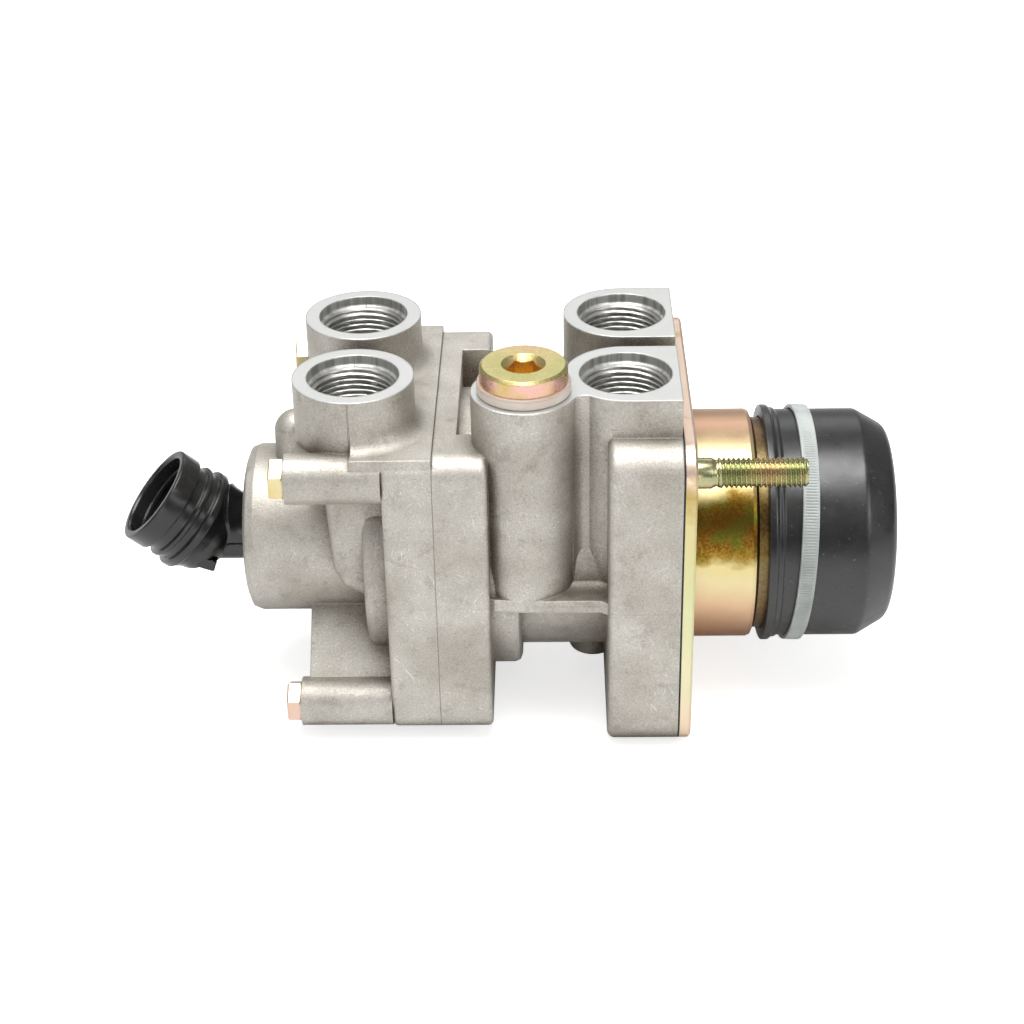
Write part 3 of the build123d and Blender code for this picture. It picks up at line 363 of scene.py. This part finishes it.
def tubeZinc(name):
    # the same finish on the turned tube: film colours and painted reflections in bands round it, a grainy one
    # in front, old grease beside the boot
    material, shader, place, add = newMaterial(name)
    x, y, z = add("SeparateXYZ", [place], out=None).outputs
    wander = add("Math", [add("TexNoise", blobs(place, tube["driftMm"], 3, 0.6)), 0.5], operation="SUBTRACT")
    drift = add("Math", [wander, tube["drift"]], operation="MULTIPLY")
    front = add("Math", [y, -1.0], operation="MULTIPLY")
    angle = add("Math", [add("Math", [z, front], operation="ARCTAN2"), math.pi], operation="DIVIDE")
    whole = add("Math", [add("Math", [angle, drift], operation="ADD"), 0.5], operation="MULTIPLY")
    turn = add("Math", [whole, 0.5], operation="ADD")
    speck = add("TexNoise", blobs(place, tube["speckMm"], 3, 0.75))
    patches = add("TexNoise", blobs(place, tube["grainMm"]))
    mottle = add("ValToRGB", [patches], stops=[(0.44, 0.0), (0.56, 1.0)])
    grain = layered(add, tube["grain"][0], [(mottle, tube["grain"][1])])
    grains = add("Math", [add("ValToRGB", [turn], stops=tube["grainBand"]),
                          add("ValToRGB", [speck], stops=[(0.40, 0.15), (0.57, 0.9)])], operation="MULTIPLY")
    greasy = add("Math", [add("Math", [x, tube["greaseFrom"] * mm], operation="GREATER_THAN"),
                          tube["greaseShare"]], operation="MULTIPLY")
    # film colour by angle, with a painted highlight on top, a dark painted reflection above the front and
    # painted floor reflections below
    film = add("ValToRGB", [turn], stops=[((at + 1) / 2, colour) for at, colour in tube["filmAndReflectionBands"]])
    grease = add("ValToRGB", [speck], stops=tube["grease"])
    height = add("TexNoise", blobs(place, 1.1, 3, 0.6))
    connect(material.node_tree, shader, {
        "Base Color": layered(add, film, [(grains, grain), (greasy, grease)]),
        "Metallic": 1.0, "Roughness": add("ValToRGB", [speck], stops=[(0.3, 0.30), (0.75, 0.44)]),
        "Normal": add("Bump", {"Height": height, "Strength": 0.2, "Distance": 0.05 * mm})})
    return material


# tints from the bottom of the plate to its top
plateHeight = (-45, 45)
plateFinish = {"tints": [(0.05, "e9d2b8"), (0.30, "dcd7b2"), (0.55, "cfd0a2"), (0.78, "d3c793"),
                         (0.88, "b8a060"), (0.97, "e8d0bd")],
               "blotchMm": 12, "rough": 0.32, "metallic": 1.0, "bump": 0.2}
boltFinish = {"tints": [(0.10, "e0c2b2"), (0.30, "dcbf9c"), (0.75, "d9bd78"), (0.92, "dfd2a6")],
              "blotchMm": 4, "rough": 0.30, "metallic": 0.9, "bump": 0.25}


def heightZinc(name, finish):
    # the same finish where its tint changes with the height, in drifting blotches
    material, shader, place, add = newMaterial(name)
    low, high = plateHeight
    z = add("SeparateXYZ", [place], out="Z")
    blotches = add("TexNoise", blobs(place, finish["blotchMm"], 3, 0.6))
    wander = add("Math", [blotches, 0.5], operation="SUBTRACT")
    drift = add("Math", [wander, (high - low) * 0.35 * mm], operation="MULTIPLY")
    above = add("Math", [add("Math", [z, drift], operation="ADD"), low * mm], operation="SUBTRACT")
    level = add("Math", [above, (high - low) * mm], operation="DIVIDE")
    grains = add("TexNoise", blobs(place, 1.0, 3))
    edge = add("Bevel", {"Radius": 0.3 * mm}, samples=4)
    connect(material.node_tree, shader, {
        "Base Color": add("ValToRGB", [level], stops=finish["tints"]), "Metallic": finish["metallic"],
        "Roughness": add("ValToRGB", [grains], stops=[(0.3, finish["rough"]), (0.7, finish["rough"] + 0.12)]),
        "Normal": add("Bump", {"Height": grains, "Strength": finish["bump"], "Distance": 0.05 * mm,
                               "Normal": edge})})
    return material


plug = {
    "x": -43.4, "y": -27.5, "top": 62.9, "socketR": 5.6,
    "topTints": [(0.36, "cfac8c"), (0.46, "c8b880"), (0.60, "b8b276")],
    "sideTints": [(0.42, "e6b8aa"), (0.62, "cdb473")], "socketReflectionTint": "e9c56c",
    # how far below the top the painted reflection in the socket sets in, in metres
    "socketDepth": [(0.0012, 0.0), (0.0022, 1.0)],
}


def plugZinc(name):
    # gold on the flat top, pink on the turned side, amber where the socket mirrors itself
    material, shader, place, add = newMaterial(name)
    x, y, z = add("SeparateXYZ", [place], out=None).outputs
    topTone = add("ValToRGB", [add("TexNoise", blobs(place, 17, 1, 0.4))], stops=plug["topTints"])
    sideTone = add("ValToRGB", [add("TexNoise", blobs(place, 7))], stops=plug["sideTints"])
    up = add("SeparateXYZ", [add("NewGeometry", out="Normal")], out="Z")
    upper = add("ValToRGB", [up], stops=[(0.2, 0.0), (0.8, 1.0)])
    reach = distanceTo(add, x, y, plug["x"], plug["y"])
    depth = add("Math", [plug["top"] * mm, z], operation="SUBTRACT")
    inside = add("Math", [add("Math", [reach, plug["socketR"] * mm], operation="LESS_THAN"),
                          add("ValToRGB", [depth], stops=plug["socketDepth"])], operation="MULTIPLY")
    grains = add("TexNoise", blobs(place, 0.8, 3))
    height = add("TexNoise", blobs(place, 0.9, 3, 0.6))
    edge = add("Bevel", {"Radius": 0.25 * mm}, samples=4)
    connect(material.node_tree, shader, {
        "Base Color": layered(add, sideTone, [(upper, topTone), (inside, plug["socketReflectionTint"])]),
        "Metallic": 0.95, "Roughness": add("ValToRGB", [grains], stops=[(0.3, 0.24), (0.7, 0.36)]),
        "Normal": add("Bump", {"Height": height, "Strength": 0.15, "Distance": 0.05 * mm, "Normal": edge})})
    return material


# rubber and plastics
rubber = {"tones": [(0.35, "0d0e0e"), (0.6, "141515"), (0.75, "232424")], "dust": "8b8d8c", "ior": 1.7,
          "rough": [(0.3, 0.27), (0.7, 0.40)], "speckShare": 0.3, "scuffShare": 0.25}


def mouldedRubber(name):
    # moulded black rubber: satin, a little dusty, with faint flow marks
    material, shader, place, add = newMaterial(name)
    flow = add("TexNoise", blobs(place, 14, 5, 0.65))
    specks = add("ValToRGB", [add("TexNoise", blobs(place, 1.1, 1, 0.4))],
                 stops=[(0.76, 0.0), (0.80, rubber["speckShare"])])
    scuff = add("Math", [scratches(add, place, (0, 0.6, 0.2), 9, 0.3, 0.72), rubber["scuffShare"]],
                operation="MULTIPLY")
    dusty = add("Math", [specks, scuff], operation="MAXIMUM")
    height = add("TexNoise", blobs(place, 0.8, 3, 0.6))
    connect(material.node_tree, shader, {
        "Base Color": layered(add, add("ValToRGB", [flow], stops=rubber["tones"]), [(dusty, rubber["dust"])]),
        "Roughness": add("ValToRGB", [add("TexNoise", blobs(place, 6, 4, 0.6))], stops=rubber["rough"]),
        "IOR": rubber["ior"],
        "Normal": add("Bump", {"Height": height, "Strength": 0.25, "Distance": 0.05 * mm})})
    return material


tieFinish = {"tones": [(0.3, "9ea3a1"), (0.7, "b0b5b2")], "milky": 0.25, "rough": 0.42}
# the plug shades the upper part of its washer: colour, its share and the height in mm where it sets in
washerFinish = {"tones": [(0.3, "cabdb1"), (0.7, "d8cec4")], "milky": 0.5, "rough": 0.3,
                "shade": "8a6450", "shadeShare": 0.5, "shadeFrom": 57.5, "shadeFade": 0.8}


def nylon(name, finish):
    # natural nylon: milky and slightly see-through
    material, shader, place, add = newMaterial(name)
    tone = add("ValToRGB", [add("TexNoise", blobs(place, 6, 3))], stops=finish["tones"])
    if "shade" in finish:
        z = add("SeparateXYZ", [place], out="Z")
        above = add("Math", [z, finish["shadeFrom"] * mm], operation="SUBTRACT")
        upper = add("Math", [above, finish["shadeFade"] * mm], operation="DIVIDE", use_clamp=True)
        shaded = add("Math", [upper, finish["shadeShare"]], operation="MULTIPLY")
        tone = layered(add, tone, [(shaded, finish["shade"])])
    height = add("TexNoise", blobs(place, 0.5))
    connect(material.node_tree, shader, {
        "Base Color": tone, "Roughness": finish["rough"], "Subsurface Weight": finish["milky"],
        "Subsurface Radius": (0.002, 0.002, 0.002), "Subsurface Scale": 0.5,
        "Normal": add("Bump", {"Height": height, "Strength": 0.15, "Distance": 0.03 * mm})})
    return material


def mouldedNylonBlack(name):
    # injection moulded black nylon: semi gloss with faint flow marks
    material, shader, place, add = newMaterial(name)
    flow = add("TexNoise", blobs(place, 7, 4, 0.6))
    edge = add("Bevel", {"Radius": 0.3 * mm}, samples=4)
    height = add("TexNoise", blobs(place, 0.7, 3))
    connect(material.node_tree, shader, {
        "Base Color": add("ValToRGB", [flow], stops=[(0.35, "131314"), (0.7, "1f2020")]), "IOR": 1.56,
        "Roughness": add("ValToRGB", [add("TexNoise", blobs(place, 5, 3))], stops=[(0.3, 0.22), (0.7, 0.28)]),
        "Normal": add("Bump", {"Height": height, "Strength": 0.03, "Distance": 0.03 * mm, "Normal": edge})})
    return material


def plainSolid(name, dark, light, metallic, rough):
    # inner pieces: plain turned or pressed finish with a light grain
    material, shader, place, add = newMaterial(name)
    drift = add("TexNoise", blobs(place, 3, 3))
    height = add("TexNoise", blobs(place, 0.6))
    connect(material.node_tree, shader, {
        "Base Color": add("ValToRGB", [drift], stops=[(0.3, dark), (0.7, light)]),
        "Metallic": metallic, "Roughness": rough,
        "Normal": add("Bump", {"Height": height, "Strength": 0.2, "Distance": 0.03 * mm})})
    return material


springSteel = plainSolid("springSteel", "4c4d50", "6a6b6e", 1, 0.35)
paint(castAluminium("castAluminiumUpper", casting["upperPort"]), "upper_body")
paint(castAluminium("castAluminiumLower", casting["lowerPort"]), "lower_body")
paint(heightZinc("yellowZincPlate", plateFinish), "mounting_plate")
paint(tubeZinc("yellowZincTube"), "guide_tube")
paint(heightZinc("yellowZincBolt", boltFinish), "body_bolts")
paint(plugZinc("yellowZincPlug"), "blanking_plug")
paint(nylon("naturalNylonWasher", washerFinish), "plug_washer")
paint(plainSolid("blackGasketSheet", "0d0d0d", "191919", 0, 0.6), "plate_gasket")
paint(plainSolid("sealRubber", "0c0c0c", "1b1b1b", 0, 0.45), "body_seal", "elbow_ring", "primary_piston_ring",
      "relay_piston_rings", "upper_guide_ring", "lower_guide_ring", "upper_inlet_valve", "lower_inlet_valve")
paint(plainSolid("filledNylonBlack", "141414", "222222", 0, 0.4), "plunger", "plunger_bush")
paint(springSteel, "bush_clip", "primary_clip", "upper_guide_clip", "lower_guide_clip")
paint(plainSolid("pressedSteel", "8d8d8d", "a5a5a5", 1, 0.35), "spring_seat")
paint(plainSolid("turnedAluminium", "c2c2c2", "d6d6d6", 1, 0.3), "primary_piston", "relay_piston")
paint(plainSolid("hardAnodisedAluminium", "2c2d2f", "3a3b3d", 0.6, 0.45), "upper_valve_guide",
      "lower_valve_guide")
print("materials made")

# port threads
portThread = {"upperX": -17.4, "lowerX": -87.4, "y": 18.55, "top": 52.5, "bottom": 39.4, "major": 10.95,
              "depth": 0.82, "pitch": 1.5, "topFade": 0.9, "bottomFade": 0.6, "around": 112, "rows": 118}


def insideThread(name, cx, cy):
    # r(t, z) = major - depth * ridge(z / pitch - t / 2pi): a 60 degree ridge on a helix, faded at both ends
    p = portThread
    t = np.linspace(0, 2 * np.pi, p["around"], endpoint=False)[:, None]
    z = np.linspace(p["bottom"], p["top"], p["rows"])[None, :]
    phase = (z / p["pitch"] - t / (2 * np.pi)) % 1.0
    ridge = np.clip(1.25 - np.abs(phase - 0.5) * 2.9, 0, 1)
    fade = np.clip((p["top"] - z) / p["topFade"], 0, 1) * np.clip((z - p["bottom"]) / p["bottomFade"], 0, 1)
    r = p["major"] - p["depth"] * ridge * fade
    inner = np.stack([cx + r * np.cos(t), cy + r * np.sin(t), z + 0 * t], -1)
    outer = np.full_like(z, p["major"] + 0.03) + 0 * t
    back = np.stack([cx + outer * np.cos(t), cy + outer * np.sin(t), z + 0 * t], -1)[:, ::-1]
    return meshPiece(name, np.concatenate([inner, back[:, [0, -1]]], 1), True, True)


milledThread = plainSolid("milledThreadAluminium", "b9b8b4", "d3d2cf", 1, 0.3)
for casing in ("upper", "lower"):
    for sideName, side in (("front", -1), ("rear", 1)):
        name = casing + "_port_thread_" + sideName
        piece = insideThread(name, portThread[casing + "X"], side * portThread["y"])
        dress(outwards(piece, 30), milledThread, "valve_body")
print("port threads made")

# studs
stud = {"corner": 35.35, "left": -18.5, "shank": 3.9, "relief": 5.7, "end": 28.3, "major": 3.98,
        "depth": 0.62, "pitch": 1.25, "bottomCone": 0.6, "neckDrop": 0.55, "tipDrop": 0.85, "tipLength": 1.1,
        "around": 96, "rows": 200}


def studPiece(name, cy, cz):
    # r(t, x): plain shank, a short cone, then a 60 degree groove on a helix and a chamfered end
    p = stud
    left, shank, relief, end, major = p["left"], p["shank"], p["relief"], p["end"], p["major"]
    x = np.concatenate([[left, left, left + p["bottomCone"]], np.linspace(left + 0.7, shank, 6),
                        np.linspace(shank + 0.05, relief, 8), np.linspace(relief + 0.02, end, p["rows"]),
                        [end]])[None, :]
    t = np.linspace(0, 2 * np.pi, p["around"], endpoint=False)[:, None]
    cone = np.interp(x, [left, left + p["bottomCone"], shank, shank + 1.0, relief - 0.3, relief],
                     [major - 0.6, major, major, major - p["neckDrop"], major - p["depth"], major - 0.1])
    phase = (x / p["pitch"] - t / (2 * np.pi)) % 1.0
    groove = np.clip(np.abs(phase - 0.5) * 2.5 - 0.15, 0, 1)
    fade = np.clip((x - relief) / 0.8, 0, 1)
    tip = np.clip(end - x, 0, p["tipLength"])
    r = cone - p["depth"] * groove * fade
    r = np.minimum(r, major - p["tipDrop"] + tip * 0.8)
    r = np.where(x < relief, cone + 0 * t, r)
    r[:, [0, -1]] = 0
    points = np.stack([x + 0 * t, cy + r * np.cos(t), cz + r * np.sin(t)], -1)
    return outwards(meshPiece(name, points, True, False), 32)


zincStud = studZinc("yellowZincStud")
studA = studPiece("stud_front_top", -stud["corner"], stud["corner"])
studB = studPiece("stud_rear_bottom", stud["corner"], -stud["corner"])
for piece in (studA, studB):
    dress(piece, zincStud, "valve_body")
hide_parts("mounting_studs")
print("studs made")

# boot
boot = {"rim": 20.35, "rimR": 32.45, "bodyR": 31.2, "insideR": 29.35, "taper": 46.3, "tipR": 26.75,
        "end": 54.9, "hole": 16.15, "wall": 1.9}


def bootPiece():
    # one closed profile (x, r, rounding) turned about the axis: rim with a step, barrel, cone, rounded end
    rim, rimR, bodyR, tipR, taper, end = (boot[k] for k in ("rim", "rimR", "bodyR", "tipR", "taper", "end"))
    profile = roundedProfile([
        (rim, boot["insideR"], 0), (rim, rimR, 0.45), (rim + 2.0, rimR, 0.5), (rim + 2.7, rimR - 0.75, 0.4),
        (rim + 3.7, rimR - 0.8, 0.3), (rim + 4.2, bodyR, 0.4), (rim + 9, bodyR, 0), (taper - 6, bodyR, 0),
        (taper, bodyR, 0.8), (end - 1.0, tipR, 1.5), (end, tipR - 2.6, 1.5), (end, 20, 0),
        (end, boot["hole"] + 0.2, 0.9), (end - 2.4, boot["hole"], 0), (end - 2.45, tipR - 4.8, 0.8),
        (taper, bodyR - boot["wall"], 2.0), (rim + 9, boot["insideR"], 0)], 7)
    return lathe("dust_boot_skin", profile, around=192)


bootSkin = outwards(bootPiece(), 50)
dress(bootSkin, mouldedRubber("mouldedBootRubber"))
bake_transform(bootSkin)
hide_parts("dust_boot")
print("boot made")

# boot tie
tie = {"x": 29.7, "inner": 31.38, "thick": 1.1, "width": 4.4, "pitch": 0.8, "tooth": 0.22,
       "buckle": (6.5, 4.4, 5.5), "tiltY": 2.95, "tiltZ": 1.2}
tieTurn = (Matrix.Rotation(math.radians(tie["tiltZ"]), 3, "Z")
           @ Matrix.Rotation(math.radians(tie["tiltY"]), 3, "Y"))


def tiePiece():
    # strap section carried round a circle; small teeth stand on its middle: h = tooth * |sin(pi * s / pitch)|
    half, thick = tie["width"] / 2, tie["thick"]
    count = int(2 * np.pi * (tie["inner"] + 1) / tie["pitch"])
    t = np.linspace(0, 2 * np.pi, count * 4, endpoint=False)[:, None]
    section = roundedProfile([(-half, 0, 0.15), (half, 0, 0.15), (half, thick, 0.3), (half / 2, thick, 0.05),
                              (-half / 2, thick, 0.05), (-half, thick, 0.3)], 3)
    x, h = section[None, :, 0], section[None, :, 1]
    middle = (np.abs(x) < 0.6 * half) * (h > 0.6 * thick)
    r = tie["inner"] + h + tie["tooth"] * (np.abs(np.sin(t * count / 2)) - 1) * middle
    points = np.stack([x + 0 * t, r * np.cos(t), r * np.sin(t)], -1)
    return meshPiece("boot_tie_strap", points @ np.array(tieTurn).T + np.array([tie["x"], 0, 0]), True, True)


# the buckle stands on the strap at the rear
bucklePlace = (0, tie["inner"] + 0.1 + tie["buckle"][1] / 2, 0)
tieNylon = nylon("naturalNylonTie", tieFinish)
tieStrap = outwards(tiePiece(), 40)
tieBuckle = outwards(roundedBox("boot_tie_buckle", tie["buckle"], tieTurn, (tie["x"], 0, 0), bucklePlace))
dress(tieStrap, tieNylon, "valve_body", ["boot_tie"])
dress(tieBuckle, tieNylon, "valve_body")
print("tie made")

# elbow
elbow = {"bend": (-132.9, 0, 0), "angle": 42.0, "turn": 8.0, "reach": 17.5, "bore": 6.3, "mouth": 11.6,
         "neck": 8.95, "webX": (0, 5, 6.4, 7.9, 9.0, 10.3, 11.7, 13.4),
         "webRise": (0, 0, 3.0, 4.2, 2.7, 1.3, 0.4, 0),
         "latch": (-131.4, -10.0, -5.4), "latchSize": (4.8, 3.4, 3.2), "latchLean": 20,
         "ledge": (-122.2, -8.85, -1.0), "ledgeSize": (7.6, 1.4, 1.2)}
lean, roll = math.radians(elbow["angle"]), math.radians(elbow["turn"])
mouthWay = (-math.cos(lean), -math.sin(lean) * math.sin(roll), math.sin(lean) * math.cos(roll))
e, mouth, neck, bore = (elbow[k] for k in ("reach", "mouth", "neck", "bore"))
# both profiles hold (distance from the bend, r, rounding)
mouthProfile = roundedProfile([
    (-7.0, 0.01, 0), (-7.0, 7.6, 0.8), (-2.8, 12.2, 1.2), (0.3, 12.9, 0.6), (2.7, 14.3, 0.5),
    (3.0, 14.8, 0.3), (5.2, 14.8, 0.35), (5.4, 13.4, 0.2), (7.4, 13.4, 0.2), (7.6, 14.0, 0.25),
    (8.7, 14.0, 0.25), (8.9, 12.9, 0.25),
    (e - 5.9, 12.9, 0.25), (e - 5.6, 14.0, 0.3), (e - 0.2, 14.0, 0.5), (e, 13.4, 0.3), (e, mouth + 0.4, 0.3),
    (e - 0.6, mouth, 0.2), (e - 4.0, mouth, 0.1), (e - 4.2, mouth - 0.3, 0.1), (e - 5.2, mouth - 0.3, 0.1),
    (e - 5.4, mouth, 0.1), (e - 8, mouth, 0.3), (e - 8, mouth - 1.0, 0.3), (e - 10, bore + 0.1, 0.4),
    (0, bore, 0), (-4, 4.5, 1.5), (-5.2, 0.01, 0)], 5)
neckSide = [(x, neck, 0) for x in np.linspace(0, 14, 29)]
neckProfile = roundedProfile([(-2.0, bore, 0), (-2.0, neck, 0.5)] + neckSide + [
    (18.4, neck, 0), (18.4, 8.0, 0.2), (20.3, 8.0, 0.2), (20.3, neck, 0.1), (21.8, neck, 0.5),
    (21.8, bore, 0)], 4)


def cornerWeb(t, x, r):
    # the neck swells towards the mouth in the inner corner: rise(x) * cos(angle from the bend's plane)^2
    away = np.cos(t + np.pi / 2 - roll)
    return np.interp(x, elbow["webX"], elbow["webRise"]) * np.clip(away, 0, 1) ** 2 * (r > 8.5)


elbowNylon = mouldedNylonBlack("mouldedElbowNylon")
elbowMouth = lathe("exhaust_elbow_mouth", mouthProfile, elbow["bend"], mouthWay)
elbowNeck = lathe("exhaust_elbow_neck", neckProfile, elbow["bend"], wave=cornerWeb)
latchTurn = Matrix.Rotation(math.radians(elbow["latchLean"]), 3, "Y")
elbowLatch = roundedBox("exhaust_elbow_latch", elbow["latchSize"], latchTurn, elbow["latch"], power=12)
elbowLedge = roundedBox("exhaust_elbow_ledge", elbow["ledgeSize"], Matrix.Identity(3), elbow["ledge"],
                        power=9)
for piece in (elbowMouth, elbowNeck, elbowLatch, elbowLedge):
    dress(outwards(piece, 38), elbowNylon, "exhaust_elbow")
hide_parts("exhaust_elbow")
print("elbow made")

# springs: each coil is copied from its CAD node and dressed in spring steel, and the node is hidden; the
# piece that presses each one is listed but not used
springs = {"graduating_spring": "plunger", "primary_return_spring": "primary_piston",
           "upper_valve_spring": "upper_valve", "relay_return_spring": "relay_piston",
           "lower_valve_spring": "lower_valve"}
for name, presser in springs.items():
    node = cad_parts[name]
    coil = bpy.data.objects.new(name + "_coil", node.data.copy())
    bpy.context.scene.collection.objects.link(coil)
    coil.matrix_world = node.matrix_world
    dress(outwards(coil, 50), springSteel, stands=[name])
    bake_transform(coil)
print("springs made")

# room, light and camera
room = {"floorZ": -44.9, "floorHalf": 3, "paper": 0.8, "floorGlow": 0.68, "skyGlow": 0.57, "skyLight": 0.43,
        # grey of the sky by its height, from straight down at 0 to straight up at 1, and behind the object
        "sky": [(0.42, 0.55), (0.50, 0.16), (0.60, 0.28), (0.78, 1.0)], "skyBehind": 0.8, "behindFrom": 0.35}
lights = {
    # place and target in metres, width and height in metres, watts
    "topLight": ((-0.10, -0.07, 0.94), (-0.05, 0, 0), 0.8, 0.62, 12.2),
    "backLight": ((-0.05, 0.95, 0.62), (-0.05, 0, 0.02), 1.0, 0.4, 1.5),
    "leftLight": ((-0.85, -0.55, 0.55), (-0.06, 0, 0), 0.6, 0.6, 1.1),
    "rightLight": ((0.75, -0.6, 0.5), (-0.04, 0, 0), 0.6, 0.6, 2.6),
    "frontFill": ((-0.02, -1.1, 0.12), (-0.03, 0, 0), 0.5, 0.35, 1.5),
}
camera = {"place": (-36.04, -496.58, 293.57), "pitch": 30.26, "yaw": -1.34, "roll": -1.17, "lens": 73.19}

# white table: what the camera sees of it glows to white, and it keeps the shadow
half, floorZ = room["floorHalf"], room["floorZ"] * mm
floorMesh = bpy.data.meshes.new("floor")
corners = [(-half, -half, floorZ), (half, -half, floorZ), (half, half, floorZ), (-half, half, floorZ)]
floorMesh.from_pydata(corners, [], [(0, 1, 2, 3)])
floor = bpy.data.objects.new("floor", floorMesh)
bpy.context.scene.collection.objects.link(floor)
floorMaterial = bpy.data.materials.new("whiteTable")
floorMaterial.use_nodes = True
floorMaterial.node_tree.nodes.clear()
add = partial(addNode, floorMaterial.node_tree)
rays = add("LightPath", out=None).outputs
seen = add("Math", [rays["Is Camera Ray"], rays["Is Transmission Ray"]], operation="MAXIMUM")
paper = add("BsdfDiffuse", {"Color": (room["paper"],) * 3 + (1,)})
strength = add("Math", [seen, room["floorGlow"]], operation="MULTIPLY")
glow = add("Emission", {"Color": (1, 1, 1, 1), "Strength": strength})
add("OutputMaterial", [add("AddShader", [paper, glow])], out=None)
floorMesh.materials.append(floorMaterial)

# studio: white where the camera sees it, and a soft grey sky for light and reflections
world = bpy.data.worlds.new("studio")
bpy.context.scene.world = world
world.use_nodes = True
world.node_tree.nodes.clear()
add = partial(addNode, world.node_tree)
rays = add("LightPath", out=None).outputs
way = add("SeparateXYZ", [add("TexCoord", out="Generated")], out=None).outputs
rise = add("Math", [add("Math", [way["Z"], 0.5], operation="MULTIPLY"), 0.5], operation="ADD")
height = add("ValToRGB", [rise], stops=room["sky"])
behind = add("Math", [way["Y"], room["behindFrom"]], operation="GREATER_THAN")
seen = add("Math", [rays["Is Camera Ray"], rays["Is Transmission Ray"]], operation="MAXIMUM")
tone = layered(add, height, [(behind, (room["skyBehind"],) * 3 + (1,)), (seen, (1, 1, 1, 1))])
strength = add("Math", [add("Math", [seen, room["skyGlow"]], operation="MULTIPLY"), room["skyLight"]],
               operation="ADD")
add("OutputWorld", [add("Background", {"Color": tone, "Strength": strength})], out=None)

for name, (place, target, width, tallness, watts) in lights.items():
    light = bpy.data.lights.new(name, "AREA")
    light.shape = "RECTANGLE"
    light.size, light.size_y, light.energy = width, tallness, watts
    lamp = bpy.data.objects.new(name, light)
    lamp.location = place
    lamp.rotation_euler = (Vector(target) - Vector(place)).to_track_quat("-Z", "Y").to_euler()
    bpy.context.scene.collection.objects.link(lamp)

# the fill is flagged off the boot and its tie, whose dark middle it would wash out
flagged = bpy.data.collections.new("flagged")
for piece in (bootSkin, tieStrap, tieBuckle):
    flagged.objects.link(piece)
bpy.data.objects["frontFill"].light_linking.receiver_collection = flagged
for entry in flagged.collection_objects:
    entry.light_linking.link_state = "EXCLUDE"

pitch, yaw, rollAngle = (math.radians(camera[k]) for k in ("pitch", "yaw", "roll"))
look = Vector((math.sin(yaw) * math.cos(pitch), math.cos(yaw) * math.cos(pitch), -math.sin(pitch)))
level = Vector((math.cos(yaw), -math.sin(yaw), 0))
upright = level.cross(look)
right = level * math.cos(rollAngle) + upright * math.sin(rollAngle)
up = -level * math.sin(rollAngle) + upright * math.cos(rollAngle)
cameraData = bpy.data.cameras.new("camera")
cameraData.lens = camera["lens"]
cameraData.sensor_width = 36
cameraObject = bpy.data.objects.new("camera", cameraData)
facing = Matrix((right, up, -look)).transposed().to_4x4()
cameraObject.matrix_world = Matrix.Translation(Vector(camera["place"]) * mm) @ facing
bpy.context.scene.collection.objects.link(cameraObject)
bpy.context.scene.camera = cameraObject
bpy.context.scene.view_settings.view_transform = "Standard"
print("room made")
